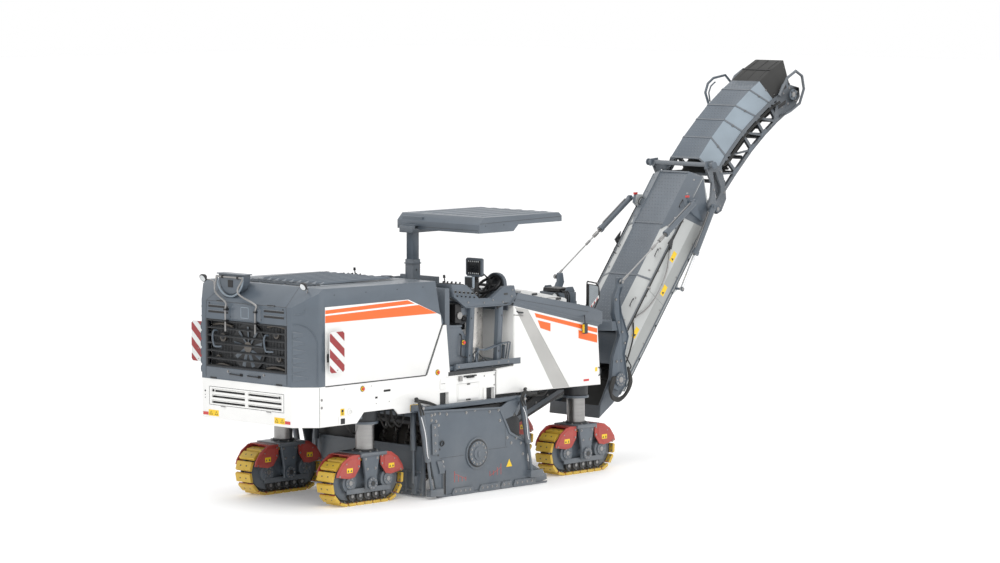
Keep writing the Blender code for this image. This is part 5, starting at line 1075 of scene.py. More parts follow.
# ---------------------------------------------------------------- operator's platform
def console_side(name, s):
    """Console knobs, bulkhead, heat shield, folded step and hoses of one side of the platform."""
    def pair(a, b):
        return span(s, a, b)

    desk = Piece("console_" + name, "machine", "slate_paint", SLATE, BLACK, STEEL, DARK, PALE)
    # The sloped top: a panel with rows of knobs, and the display pods.
    a, b = Vector((1.66, 0, 2.93)), Vector((1.92, 0, 2.72))
    n = Vector((a.z - b.z, 0, b.x - a.x)).normalized()
    desk.use(3).strip([(1.38, s * 1.0, 2.957), (1.655, s * 1.0, 2.934)], 0.12, 0.004, ACROSS)
    desk.use(3).strip([tuple(a.lerp(b, 0.06) + n * 0.003 + Vector((0, s * 1.0, 0))),
                       tuple(a.lerp(b, 0.94) + n * 0.003 + Vector((0, s * 1.0, 0)))], 0.12, 0.004, ACROSS)
    for i in range(4):
        for k in range(3):
            p = a.lerp(b, 0.16 + 0.22 * i) + Vector((0, s * (0.90 + 0.09 * k), 0))
            desk.use(1).rod(tuple(p), tuple(p + n * 0.026), 0.016, 14, 0.013)
            desk.use(2).rod(tuple(p), tuple(p + n * 0.008), 0.021, 14)
    for i in range(3):
        for k in range(3):
            p = Vector((1.44 + 0.085 * i, s * (0.92 + 0.08 * k), 2.952 - 0.007 * i))
            desk.use(1).rod(tuple(p), tuple(p + Vector((0.01, 0, 0.030))), 0.014, 12, 0.011)
    desk.use(1).rod((1.50, s * 0.90, 2.945), (1.485, s * 0.90, 3.035), 0.010, 10, 0.008)
    desk.use(1).rod((1.485, s * 0.90, 3.025), (1.48, s * 0.90, 3.065), 0.020, 14, 0.016)
    # Knobs on the outer face, row under the rim.
    for i in range(6):
        x = 1.435 + 0.085 * i
        z = 2.845 - 0.010 * i
        desk.use(2).rod((x, s * 1.158, z), (x, s * 1.164, z), 0.020, 16)
        desk.use(1).rod((x, s * 1.162, z), (x, s * 1.186, z), 0.014, 14, 0.012)
    for i in range(5):
        x = 1.475 + 0.085 * i
        z = 2.785 - 0.010 * i
        desk.use(1).rod((x, s * 1.158, z), (x, s * 1.178, z), 0.011, 12, 0.009)
    # Outer band: raised seam lines, slot and bolts.
    desk.use(3).box(2.42, 2.50, *pair(1.158, 1.1615), 2.735, 2.765)
    for x, z in ((1.70, 2.68), (2.02, 2.655), (2.40, 2.64), (2.58, 2.71), (2.60, 2.80), (2.20, 2.68)):
        desk.use(2).bolt((x, s * 1.16, z), (0, s, 0), 0.009, 0.006)
    desk.use(0).strip([(1.68, s * 1.160, 2.608), (2.545, s * 1.160, 2.596), (2.668, s * 1.160, 2.698)],
                      0.005, 0.008, (0, s, 0))
    desk.use(0).strip([(2.17, s * 1.160, 2.700), (2.42, s * 1.160, 2.850), (2.63, s * 1.160, 2.850)],
                      0.005, 0.008, (0, s, 0))
    # Horn and boxes under the desk.
    desk.use(0).box(1.56, 1.90, *pair(0.90, 1.09), 2.50, 2.605)
    desk.use(1).box(1.50, 1.62, *pair(0.95, 1.10), 2.40, 2.66)
    desk.use(1).rod((1.66, s * 1.06, 2.46), (1.80, s * 1.06, 2.42), 0.035, 16)
    desk.use(2).rod((1.58, s * 1.10, 2.50), (1.58, s * 1.115, 2.50), 0.05, 20)
    desk.done(EDGE)

    wall = Piece("platform_wall_" + name, "machine", "slate_paint", SLATE, BLACK, MOTTLED, DARK, STEEL)
    # Black bulkhead behind the seat, the slate lower panel and the curved heat shield.
    wall.use(1).prism([(1.350, 1.82), (1.372, 1.82), (1.372, 2.86), (1.350, 2.90)], *pair(0.75, 1.105))
    wall.use(0).prism([(1.372, 1.812), (1.72, 1.812), (1.75, 2.16), (1.60, 2.36), (1.375, 2.38)],
                      *pair(1.070, 1.085))
    wall.use(0).prism([(1.372, 2.345), (1.64, 2.335), (1.64, 2.360), (1.372, 2.372)], *pair(1.04, 1.095))
    shield = []
    for k in range(9):
        t = k / 8
        shield.append((1.80 + 0.46 * t, s * (1.098 - 0.20 * t * t)))
    inner = [(x + 0.004, y - s * 0.010) for x, y in reversed(shield)]
    wall.use(2).slab(shield + inner, 1.83, 2.60)
    for z in (1.90, 2.55):
        wall.use(4).bolt((1.86, s * 1.090, z), (0, s, 0), 0.009)
    for x, z in ((1.735, 1.93), (1.775, 2.45), (2.325, 1.95), (2.385, 2.45)):
        wall.use(3).rod((x, s * 1.149, z), (x, s * 1.154, z), 0.012, 14)
    # Grab rail on the slate wall, and a bundle of hoses.
    wall.use(3).hose([(1.60, s * 1.085, 2.24), (1.605, s * 1.12, 2.20), (1.585, s * 1.125, 1.98),
                      (1.60, s * 1.12, 1.93),
                      (1.72, s * 1.12, 1.90)], 0.010, 5, 8)
    for i in range(4):
        wall.use(3).hose([(1.80 + 0.03 * i, s * (1.07 - 0.02 * i), 2.60),
                          (1.76 + 0.03 * i, s * (1.08 - 0.02 * i), 2.44),
                          (1.66 - 0.02 * i, s * 1.05, 2.37 + 0.02 * i), (1.56, s * 0.98, 2.38 + 0.03 * i),
                          (1.46, s * 0.90, 2.44)], 0.013, 5, 7)
    wall.done(EDGE)
    stop = Piece("platform_stop_" + name, "machine", "red_guard", LABEL, REFLECTOR, BLACK)
    stop.use(2).rod((1.665, s * 1.084, 2.115), (1.665, s * 1.095, 2.115), 0.040, 24)
    stop.use(0).rod((1.665, s * 1.094, 2.115), (1.665, s * 1.102, 2.115), 0.034, 24)
    stop.use(1).rod((1.665, s * 1.101, 2.115), (1.665, s * 1.122, 2.115), 0.020, 20, 0.024)
    stop.done(FINE_EDGE)

    step = Piece("folded_step_" + name, "machine", "slate_paint", SLATE, DARK, STEEL)
    y0, y1 = s * 1.118, s * 1.165
    step.use(0).box(1.445, 2.60, *span(s, 1.112, 1.172), 1.742, 1.755)
    step.use(0).box(1.445, 2.75, *span(s, 1.160, 1.172), 1.742, 1.828)
    step.use(1).box(1.50, 2.50, *span(s, 1.172, 1.1735), 1.757, 1.760)
    for x in (2.30, 2.50, 1.50):
        step.use(2).bolt((x, s * 1.172, 1.790), (0, s, 0), 0.010, 0.006)
    frame_line = [(1.86, y1, 1.83), (1.84, y1, 1.93), (1.90, y1, 2.00), (2.05, y1, 1.985), (2.40, y1, 2.055),
                  (2.545, y1, 2.06), (2.50, y1, 1.83)]
    step.use(0).pipe(frame_line, 0.010, 8)
    step.use(0).pipe([(x, y0, z) for x, _, z in frame_line], 0.010, 8)
    for x, z in ((1.90, 2.0), (2.05, 1.985), (2.22, 2.018), (2.40, 2.055), (2.545, 2.06)):
        step.use(0).rod((x, y0, z), (x, y1, z), 0.008, 8)
    for x in (1.88, 2.42):
        step.use(0).strip([(x, s * 1.142, 1.835), (x + 0.015, s * 1.142, 2.03)], 0.030, 0.005, ACROSS)
    step.use(1).hose([(1.80, s * 1.13, 1.90), (1.86, s * 1.155, 1.98), (1.96, s * 1.155, 1.90),
                      (2.10, s * 1.13, 1.835)],
                     0.008, 5, 6)
    step.done(0.0012)

    pipes = Piece("platform_hoses_" + name, "machine", "black_rubber", RUBBER, STEEL)
    for i in range(3):
        pipes.use(0).hose([(2.30, s * 1.14, 2.60 - 0.02 * i), (2.46 + 0.02 * i, s * 1.15, 2.62),
                           (2.62, s * 1.13, 2.60 + 0.02 * i), (2.75, s * 1.10, 2.655)], 0.012, 5, 7)
    pipes.done(SHARP)


def platform_details():
    """Display pods, cover behind the wheel, panel, seats' padding and floor tread."""
    pods = Piece("display_pods", "machine", "black_rubber", BLACK, SCREEN, SLATE, LENS, STEEL)
    x, y0, y1, z0, z1 = 2.385, -0.76, -0.46, 2.98, 3.22
    pods.use(2).gate([(y0 - 0.008, z0 + 0.02), (y0 + 0.02, z0 - 0.01), (y1 - 0.02, z0 - 0.01),
                      (y1 + 0.008, z0 + 0.02),
                      (y1 + 0.008, z1 - 0.01), (y1 - 0.015, z1 + 0.012), (y0 + 0.015, z1 + 0.012),
                      (y0 - 0.008, z1 - 0.01)],
                     x - 0.010, x + 0.030)
    pods.use(0).box(x - 0.016, x - 0.008, y0 + 0.02, y1 - 0.02, z0 + 0.018, z1 - 0.020)
    pods.use(1).box(x - 0.018, x - 0.014, y0 + 0.045, y1 - 0.045, z0 + 0.055, z1 - 0.055)
    for i in range(6):
        y = y0 + 0.055 + 0.038 * i
        for z in (z1 - 0.036, z0 + 0.034):
            pods.use(3).rod((x - 0.015, y, z), (x - 0.020, y, z), 0.010, 12)
    pods.use(0).rod((2.42, -0.62, 2.90), (2.42, -0.62, 2.985), 0.030, 16)
    for z in (2.90, 2.925, 2.95):
        pods.use(0).rod((2.42, -0.62, z), (2.42, -0.62, z + 0.010), 0.044, 18)
    # The second monitor, on its own stalk.
    pods.use(0).hose([(2.50, -0.62, 2.78), (2.50, -0.50, 2.86), (2.53, -0.44, 2.93), (2.55, -0.42, 3.0)],
                     0.013, 5, 8)
    pods.use(0).box(2.548, 2.590, -0.535, -0.305, 2.965, 3.165)
    pods.use(1).box(2.5455, 2.549, -0.515, -0.325, 2.985, 3.145)
    pods.use(0).strip([(2.535, -0.42, 3.168), (2.60, -0.42, 3.168)], 0.125, 0.004, ACROSS)
    # Levers and cable loops round the wheel.
    for i in range(4):
        pods.use(0).hose([(2.42, -0.60 + 0.02 * i, 2.96 - 0.02 * i),
                          (2.46, -0.70 + 0.02 * i, 3.00 + 0.015 * i),
                          (2.56, -0.78 + 0.02 * i, 2.90), (2.54, -0.74, 2.78 - 0.02 * i)], 0.007, 5, 6)
    pods.use(4).rod((2.58, -0.50, 2.78), (2.56, -0.44, 2.92), 0.007, 8)
    pods.use(0).rod((2.56, -0.44, 2.91), (2.555, -0.43, 2.95), 0.016, 12)
    pods.done(EDGE)

    shroud = Piece("wheel_shroud", "machine", "slate_paint", SLATE, DARK, PALE, BLACK)
    dome = [(-0.80, 2.60), (-0.44, 2.60)] + [(-0.62 + 0.18 * math.cos(t), 2.84 + 0.16 * math.sin(t))
                                             for t in [math.radians(20 * k) for k in range(10)]]
    shroud.use(0).gate(dome, 2.80, 2.86)
    shroud.use(1).gate([(-0.62 + (y + 0.62) * 0.86, 2.61 + (z - 2.60) * 0.93) for y, z in dome], 2.797, 2.802)
    shroud.use(0).box(2.30, 2.56, -1.06, 1.06, 2.598, 2.612)
    shroud.use(2).box(2.05, 2.09, -0.905, -0.745, 2.84, 3.00)
    shroud.use(1).box(2.048, 2.052, -0.895, -0.755, 2.85, 2.99)
    shroud.use(0).rod((2.07, -0.86, 2.70), (2.07, -0.84, 2.86), 0.012, 10)
    # Crossing box at the platform's front and the low partition in front of the left stand.
    shroud.use(0).box(2.60, 2.70, -1.05, 1.05, 2.50, 2.66)
    shroud.use(0).prism([(2.52, 2.60), (2.60, 2.60), (2.60, 2.90), (2.55, 2.90)], 0.30, 1.05)
    shroud.done()

    pads = Piece("seat_padding", "machine", "seat_cover", SEAT, DARK, BLACK)
    for y in (-0.62, 0.62):
        pads.use(0).box(1.535, 1.955, y - 0.155, y + 0.155, 2.358, 2.378)
        for e in (-1, 1):
            pads.use(0).box(1.53, 1.96, *sorted((y + e * 0.16, y + e * 0.222)), 2.355, 2.395)
            pads.use(0).shell([(1.515 + 0.006, y + e * 0.14, 2.40), (1.60, y + e * 0.14, 2.40),
                               (1.52, y + e * 0.14, 2.86), (1.45, y + e * 0.14, 2.86),
                               (1.515 + 0.006, y + e * 0.215, 2.40), (1.62, y + e * 0.215, 2.40),
                               (1.54, y + e * 0.215, 2.85), (1.45, y + e * 0.215, 2.85)],
                              [[0, 1, 2, 3], [7, 6, 5, 4], [0, 4, 5, 1], [1, 5, 6, 2], [2, 6, 7, 3],
                               [3, 7, 4, 0]])
            pads.use(1).hose([(1.60, y + e * 0.25, 2.56), (1.72, y + e * 0.25, 2.57),
                              (1.82, y + e * 0.25, 2.56)], 0.024, 4)
        for k in range(4):
            pads.use(2).box(1.56 + 0.09 * k, 1.563 + 0.09 * k, y - 0.15, y + 0.15, 2.376, 2.3795)
    pads.done(0.006)

    tread = Piece("deck_tread", "machine", "dark_paint", DARK, STEEL)
    for i in range(24):
        for k in range(14):
            x, y = 1.42 + 0.048 * i, -0.98 + 0.15 * k + (0.075 if i % 2 else 0)
            if y < 1.05:
                tread.use(0).rod((x, y, 1.7995), (x, y, 1.803), 0.012, 8, 0.008)
    tread.done(SHARP)


def canopy_details():
    """Roof ribs, edge line, braces under the roof and lamps."""
    x0, x1, y0, y1, top, low = 1.93, 3.63, -1.15, 0.48, 3.85, 3.63
    roof = Piece("canopy_ribs", "canopy", "slate_paint", SLATE, DARK, LENS, STEEL, BLACK)
    for i in range(6):
        y = y0 + 0.21 + i * 0.245
        roof.use(0).shell([(x0 + 0.20, y - 0.055, top - 0.001), (x1 - 0.10, y - 0.055, top - 0.001),
                           (x1 - 0.10, y + 0.055, top - 0.001), (x0 + 0.20, y + 0.055, top - 0.001),
                           (x0 + 0.24, y - 0.035, top + 0.013), (x1 - 0.15, y - 0.035, top + 0.013),
                           (x1 - 0.15, y + 0.035, top + 0.013), (x0 + 0.24, y + 0.035, top + 0.013)],
                          [[0, 1, 2, 3], [7, 6, 5, 4], [0, 4, 5, 1], [1, 5, 6, 2], [2, 6, 7, 3],
                           [3, 7, 4, 0]])
    for y in (y0 - 0.0012, y1 + 0.0012):
        roof.use(1).strip([(x0 + 0.02, y, top - 0.085), (x1 - 0.02, y, top - 0.060)], 0.0025, 0.0012, UP)
    roof.use(1).strip([(x0 - 0.001, y0 + 0.02, low + 0.04), (x0 - 0.001, y1 - 0.02, low + 0.04)], 0.0025,
                      0.0012,
                      UP)
    for x in (x0 + 0.13, x0 + 0.50):
        for y in (y0, y1):
            roof.use(1).rod((x, y - 0.002, low + 0.10), (x, y + 0.002, low + 0.10), 0.009, 12)
    for i in range(5):
        x = x0 + 0.20 + i * 0.34
        roof.use(1).box(x, x + 0.03, y0 + 0.05, y1 - 0.05, top - 0.085, top - 0.058)
    roof.use(1).box(x0 + 0.052, x0 + 0.70, -0.35, -0.15, low + 0.03, low + 0.085)
    for y in (-0.80, 0.05):
        roof.use(4).box(x0 + 0.07, x0 + 0.13, y - 0.06, y + 0.06, low + 0.02, low + 0.085)
        roof.use(2).box(x0 + 0.085, x0 + 0.115, y - 0.045, y + 0.045, low + 0.014, low + 0.022)
        roof.use(4).box(x1 - 0.16, x1 - 0.08, y - 0.06, y + 0.06, top - 0.12, top - 0.06)
        roof.use(2).box(x1 - 0.15, x1 - 0.09, y - 0.045, y + 0.045, top - 0.126, top - 0.119)
    for e in (-1, 1):
        roof.use(0).prism([(2.10, 3.585), (2.335, 3.585), (2.335, 3.60), (2.24, 3.60), (2.10, 3.60)],
                          *sorted((0.19 + e * 0.10, 0.19 + e * 0.112)))
    roof.use(0).box(1.86, 1.935, 0.06, 0.32, 3.64, 3.70)
    roof.done()
    post = Piece("canopy_post_trim", "machine", "slate_paint", SLATE, DARK, STEEL, RUBBER)
    post.use(0).box(1.862, 2.038, 0.102, 0.278, 3.135, 3.150)
    post.use(0).box(1.80, 2.10, 0.04, 0.34, 1.8005, 1.815)
    for x in (1.83, 2.07):
        for y in (0.07, 0.31):
            post.use(2).bolt((x, y, 1.814), UP, 0.013)
    for z in (2.9, 3.05):
        post.use(1).rod((1.95, 0.114, z), (1.95, 0.110, z), 0.014, 14)
    post.use(3).hose([(2.03, 0.24, 3.10), (2.05, 0.25, 2.80), (2.04, 0.24, 2.30), (2.05, 0.26, 1.86)], 0.014,
                     5, 8)
    post.done(EDGE)


# ---------------------------------------------------------------- front body
def front_top(x, drop=0.0):
    """Height of the white body's top edge at x, less a drop."""
    return 2.571 + (x - 2.62) * (2.15 - 2.571) / (4.385 - 2.62) - drop


def front_details():
    """Raised panels on both sides of the band whose grey is painted shade of a recess, stripes, reflectors,
    hatch, mirror, camera.
    """
    fore_top = (2.922, 2.494)
    for name, s in SIDES:
        face = s * BODY

        def pair(a, b):
            return sorted((face + s * a, face + s * b))

        skin = Piece("front_skin_" + name, "machine", "white_paint", WHITE, PAINTED_RECESS_SHADE, ORANGE, DARK, REFLECTOR,
                     LABEL, STEEL)
        # The band between the raised white panels is coloured grey as painted shade of the recess.
        skin.use(1).prism([(2.64, front_top(2.64, 0.012)), (fore_top[0], front_top(fore_top[0], 0.004)),
                           (3.789, 1.320),
                           (3.420, 1.324)], *pair(-0.002, 0.0012))
        skin.use(0).prism([(2.268, 1.345), (3.432, 1.330), (2.632, front_top(2.632, 0.012)), (2.628, 1.76),
                           (2.60, 1.71),
                           (2.268, 1.69)], *pair(-0.002, 0.009))
        skin.use(0).prism([(3.775, 1.325), (4.436, 1.310), (4.374, front_top(4.374, 0.004)),
                           (2.905, front_top(2.905, 0.004))], *pair(-0.002, 0.009))
        for x0, x1, da, db in ((3.04, 4.366, 0.030, 0.095), (3.105, 3.375, 0.122, 0.240),
                               (3.965, 4.365, 0.122, 0.240)):
            cut = 0.055 if x0 < 3.9 else 0.0
            skin.use(2).prism([(x0, front_top(x0, da)), (x1, front_top(x1, da)), (x1, front_top(x1, db)),
                               (x0 + cut * (db - da) / 0.06 * 0.55, front_top(x0, db))],
                              *pair(0.0085, 0.0102))
        skin.use(4).box(4.075, 4.19, *pair(0.0088, 0.013), 1.375, 1.405)
        skin.use(5).box(4.32, 4.37, *pair(0.0088, 0.0105), 1.50, 1.56)
        skin.use(3).hose([(4.395, face + s * 0.006, 1.43), (4.425, face + s * 0.020, 1.46),
                          (4.425, face + s * 0.020, 1.53),
                          (4.39, face + s * 0.006, 1.56)], 0.008, 5, 6)
        skin.use(3).rod((4.05, face + s * 0.009, 2.12), (4.05, face + s * 0.05, 2.12), 0.012, 12)
        skin.use(3).box(4.018, 4.082, *pair(0.040, 0.085), 2.075, 2.225)
        skin.use(5).box(4.012, 4.020, *pair(0.045, 0.080), 2.09, 2.21)
        skin.use(3).hose([(4.05, face + s * 0.06, 2.22), (4.055, face + s * 0.05, 2.29),
                          (4.12, face - s * 0.01, 2.325),
                          (4.20, face - s * 0.05, 2.30)], 0.008, 5, 6)
        # Tank strap and pipes at the back edge, under the desk.
        skin.use(3).hose([(2.64, face - s * 0.01, 2.50), (2.72, face + s * 0.015, 2.47),
                          (2.80, face + s * 0.012, 2.46)],
                         0.012, 4, 6)
        skin.use(6).rod((2.62, face + s * 0.004, 2.44), (2.80, face + s * 0.012, 2.42), 0.009, 8)
        skin.done(0.003)
    top = Piece("front_cover_details", "machine", "slate_paint", SLATE, WHITE, DARK, BLACK, STEEL, LENS)
    for s in (-1, 1):
        top.use(0).strip([(2.60, s * 1.135, 2.628), (4.48, s * 1.135, 2.186)], 0.025, 0.012, ACROSS)
        top.use(2).strip([(2.70, s * 1.151, 2.655), (4.20, s * 1.151, 2.375)], 0.0025, 0.0015, UP)
        for x in (2.9, 3.3, 3.7, 4.1):
            z = 2.75 + (x - 2.72) * (2.461 - 2.75) / (4.19 - 2.72)
            top.use(4).bolt((x, s * 1.05, z), (0.19, 0, 0.98), 0.010)

    def roof_z(x):
        return 2.75 + (x - 2.72) * (2.461 - 2.75) / (4.19 - 2.72)

    top.use(1).prism([(3.02, roof_z(3.02) - 0.002), (3.98, roof_z(3.98) - 0.002),
                      (3.98, roof_z(3.98) + 0.055),
                      (3.94, roof_z(3.94) + 0.070), (3.10, roof_z(3.10) + 0.075),
                      (3.02, roof_z(3.02) + 0.050)],
                     -0.92, 0.62)
    top.use(2).box(3.10, 3.90, -0.926, -0.918, 2.60, 2.603)
    for x in (3.25, 3.75):
        top.use(2).box(x, x + 0.10, -0.935, -0.915, roof_z(x) + 0.015, roof_z(x) + 0.045)
    # Camera and lamp unit in its bracket, on the cover's front.
    unit_y = -0.60
    top.use(0).box(4.13, 4.20, unit_y - 0.22, unit_y + 0.22, 2.64, 2.655)
    for y in (unit_y - 0.215, unit_y + 0.215):
        top.use(0).prism([(4.08, 2.45), (4.24, 2.43), (4.26, 2.66), (4.22, 2.72), (4.10, 2.72), (4.06, 2.66)],
                         y - 0.008, y + 0.008)
    top.use(3).box(4.00, 4.24, unit_y - 0.16, unit_y + 0.16, 2.655, 2.70)
    top.use(2).rod((3.985, unit_y - 0.08, 2.58), (4.02, unit_y - 0.08, 2.58), 0.055, 22)
    top.use(5).rod((3.982, unit_y - 0.08, 2.58), (3.988, unit_y - 0.08, 2.58), 0.046, 22)
    top.use(2).rod((3.985, unit_y + 0.08, 2.55), (4.02, unit_y + 0.08, 2.55), 0.045, 22)
    top.use(5).rod((3.982, unit_y + 0.08, 2.55), (3.988, unit_y + 0.08, 2.55), 0.037, 22)
    for i in range(3):
        top.use(3).hose([(4.05 + 0.04 * i, unit_y - 0.10, 2.68), (4.0 + 0.04 * i, unit_y - 0.27, 2.64),
                         (4.02 + 0.04 * i, unit_y - 0.27, 2.50), (4.05 + 0.04 * i, unit_y - 0.24, 2.43)],
                        0.010, 5, 6)
    # Rear wall plate of the cover, with a filler cap and grid.
    top.use(3).rod((2.86, 0.80, roof_z(2.86) - 0.004), (2.87, 0.80, roof_z(2.86) + 0.035), 0.055, 22)
    for i in range(8):
        top.use(2).box(3.10 + 0.1 * i, 3.15 + 0.1 * i, 0.70, 1.00, roof_z(3.1 + 0.1 * i) - 0.008,
                       roof_z(3.1 + 0.1 * i) + 0.002)
    top.done()

    s = -1                                # the mirror stands on the right only
    arm = Piece("mirror_right", "machine", "black_rubber", BLACK, MIRROR, BOARD, BOARD_RED, STEEL)
    y = s * 1.075
    arm.use(0).hose([(4.30, s * 1.02, 2.36), (4.27, s * 1.05, 2.46), (4.245, y, 2.60), (4.25, y, 2.79),
                     (4.30, y, 2.80), (4.45, y, 2.77)], 0.010, 6, 8)
    arm.use(0).hose([(4.46, y, 2.76), (4.50, y, 2.70), (4.50, y, 2.55), (4.38, y, 2.38),
                     (4.30, s * 1.02, 2.33)],
                    0.010, 6, 8)
    rim = [(4.262, 2.775), (4.440, 2.745), (4.485, 2.72), (4.482, 2.540), (4.305, 2.395), (4.262, 2.42)]
    arm.use(0).prism(rim, y - 0.016, y + 0.016)
    glass = [(4.275, 2.760), (4.437, 2.732), (4.470, 2.712), (4.468, 2.560), (4.31, 2.425), (4.275, 2.445)]
    arm.use(1).prism(glass, y - 0.019, y - 0.015)
    arm.use(2).prism([(4.300, 2.408), (4.478, 2.555), (4.478, 2.595), (4.300, 2.448)], y - 0.0215, y - 0.018)
    for k in range(3):
        a = 4.305 + k * 0.058
        z = 2.412 + k * 0.0478
        arm.use(3).prism([(a, z + 0.002), (a + 0.030, z + 0.027), (a + 0.036, z + 0.064),
                          (a + 0.006, z + 0.040)],
                         y - 0.0225, y - 0.0212)
    arm.done(EDGE)


# ---------------------------------------------------------------- conveyors
BASE, TIP = Vector((5.16, 0.44)), Vector((7.621, 3.604))
RUN = (TIP - BASE).normalized()
RISE = Vector((-RUN.y, RUN.x))


def low(k, lift, y):
    """A point on the lower section: k along its bottom rail, lift square to it."""
    p = BASE + RUN * k + RISE * lift
    return (p.x, y, p.y)


def low_sheet(piece, outline, y0, y1):
    return piece.prism([low(k, lift, 0)[::2] for k, lift in outline], *sorted((y0, y1)))


def lower_section():
    """Trims of the lower section: flanks, skirts, cover grid, brackets, hoses and belt cleats."""
    side = Piece("lower_section_trim", "lower_section", "silver_paint", SILVER, ASH, SLATE, LABEL, STEEL, DARK,
                 REFLECTOR)
    for s in (-1, 1):
        face = s * 0.50
        low_sheet(side.use(1), [(0.72, 0.004), (3.96, 0.004), (3.96, 0.20), (0.98, 0.20)], face - s * 0.002,
                  face + s * 0.0012)
        for k, lift in ((1.55, 0.235), (2.92, 0.235), (2.40, 0.10)):
            low_sheet(side.use(3), [(k, lift), (k + 0.17, lift), (k + 0.17, lift + 0.085), (k, lift + 0.085)],
                      face - s * 0.001, face + s * 0.0022)
            low_sheet(side.use(5), [(k + 0.02, lift + 0.02), (k + 0.07, lift + 0.02),
                                    (k + 0.045, lift + 0.066)],
                      face - s * 0.001, face + s * 0.0030)
        for k in (1.30, 1.75, 2.2, 2.65, 3.1, 3.55, 3.90):
            side.use(4).bolt(low(k, 0.425, face), (0, s, 0), 0.013, 0.008)
        for k in (1.0, 1.6, 2.2, 2.8, 3.4, 3.9):
            side.use(4).bolt(low(k, 0.030, face), (0, s, 0), 0.010, 0.006)
        low_sheet(side.use(2), [(0.80, -0.0555), (3.88, -0.0555), (3.88, -0.046), (0.80, -0.046)],
                  s * 0.440, s * 0.508)
        low_sheet(side.use(2), [(0.72, -0.012), (3.98, -0.012), (3.98, 0.012), (0.70, 0.012)],
                  face - s * 0.002,
                  face + s * 0.010)
        for k in (1.35, 1.95, 2.55, 3.15, 3.75):
            low_sheet(side.use(2), [(k, -0.05), (k + 0.035, -0.05), (k + 0.035, 0.0), (k, 0.0)], s * 0.40,
                      s * 0.497)
        # Slate skirts of the hopper at the foot, and the seam of the side plates.
        side.use(2).prism([(5.141, 0.692), (5.44, 0.882), (5.598, 1.002), (5.66, 1.085),
                           low(1.02, 0.30, 0)[::2],
                           low(1.02, 0.38, 0)[::2], (5.33, 1.168), (5.161, 0.868)],
                          *sorted((face - s * 0.003, face + s * 0.0035)))
        side.use(2).prism([(5.145, 0.70), (5.30, 0.80), (5.31, 1.04), (5.17, 0.86)],
                          *sorted((face - s * 0.002, face + s * 0.006)))
        low_sheet(side.use(5), [(2.30, 0.01), (2.304, 0.01), (2.304, 0.45), (2.30, 0.45)], face - s * 0.001,
                  face + s * 0.0016)
        side.use(6).prism([(7.04, 3.862), (7.11, 3.862), (7.11, 3.895), (7.04, 3.895)], *span(s, 0.51, 0.535))
        side.use(2).rod((7.10, s * 0.67, 3.80), (7.10, s * 0.70, 3.80), 0.034, 18)
    side.use(2).prism([(5.143, 0.688), (5.44, 0.876), (5.601, 0.998), (5.597, 1.006), (5.438, 0.886),
                       (5.141, 0.700)],
                      -0.492, 0.492)
    side.use(2).prism([(5.139, 0.69), (5.159, 0.872), (5.165, 0.872), (5.145, 0.69)], -0.49, 0.49)
    for k in (0.95, 1.45, 1.95, 2.45, 2.95, 3.45):
        side.use(2).rod(low(k, 0.012, -0.47), low(k, 0.012, 0.47), 0.030, 12)
        side.use(2).rod(low(k + 0.25, -0.028, -0.43), low(k + 0.25, -0.028, 0.43), 0.022, 16)
    for s in (-1, 1):
        for k in (0.82, 3.82):
            side.use(2).rod(low(k, 0.075, s * 0.30), low(k, 0.075, s * 0.465), 0.05, 18)
    side.done(EDGE)

    cover = Piece("lower_cover_trim", "lower_section", "slate_paint", SLATE, DARK, STEEL, PALE)
    for i in range(46):
        for j in range(9):
            k = 1.58 + 0.060 * i
            y = -0.24 + 0.06 * j + (0.03 if i % 2 else 0)
            if y < 0.26:
                cover.use(0).rod(low(k, 0.5695, y), low(k, 0.5735, y), 0.014, 6, 0.009)
    for k in (1.52, 2.46, 3.40, 4.34):
        cover.use(0).strip([low(k, 0.575, -0.275), low(k, 0.575, 0.275)], 0.014, 0.0045, (RUN.x, 0, RUN.y))
        for s in (-1, 1):
            cover.use(0).strip([low(k, 0.5745, s * 0.275), low(k, 0.470, s * 0.486)], 0.014, 0.0045,
                               (RUN.x, 0, RUN.y))
    for s in (-1, 1):
        cover.use(0).strip([low(1.51, 0.468, s * 0.494), low(4.35, 0.468, s * 0.494)], 0.012, 0.004,
                           (0, 0.5, 0.5))
        for k in (1.7, 2.1, 2.6, 3.0, 3.55, 4.0, 4.25):
            cover.use(2).bolt(low(k, 0.512, s * 0.405), (RISE.x * 0.9, s * 0.45, RISE.y * 0.9), 0.010, 0.007)
        for k in (2.0, 2.9, 3.8):
            cover.use(1).hose([low(k - 0.06, 0.520, s * 0.39), low(k - 0.05, 0.560, s * 0.42),
                               low(k + 0.05, 0.560, s * 0.42),
                               low(k + 0.06, 0.520, s * 0.39)], 0.008, 4, 6)
    cover.done(SHARP)

    ends = Piece("lower_cover_ends", "lower_section", "slate_paint", SLATE, STEEL, DARK)
    for s in (-1, 1):
        quad = [(3.62, 0.463, 0.494), (4.355, 0.463, 0.494), (4.355, 0.573, 0.281), (3.30, 0.573, 0.281)]
        top = [Vector(low(k, lift + 0.004, s * (y + 0.003))) for k, lift, y in quad]
        under = [Vector(low(k, lift - 0.006, s * (y - 0.002))) for k, lift, y in quad]
        ends.use(0).shell(top + under, [[0, 1, 2, 3], [7, 6, 5, 4], [0, 4, 5, 1], [1, 5, 6, 2], [2, 6, 7, 3],
                                        [3, 7, 4, 0]])
        low_sheet(ends.use(0), [(3.74, 0.004), (3.985, 0.004), (3.985, 0.05), (4.34, 0.448), (3.60, 0.456)],
                  s * 0.499, s * 0.5035)
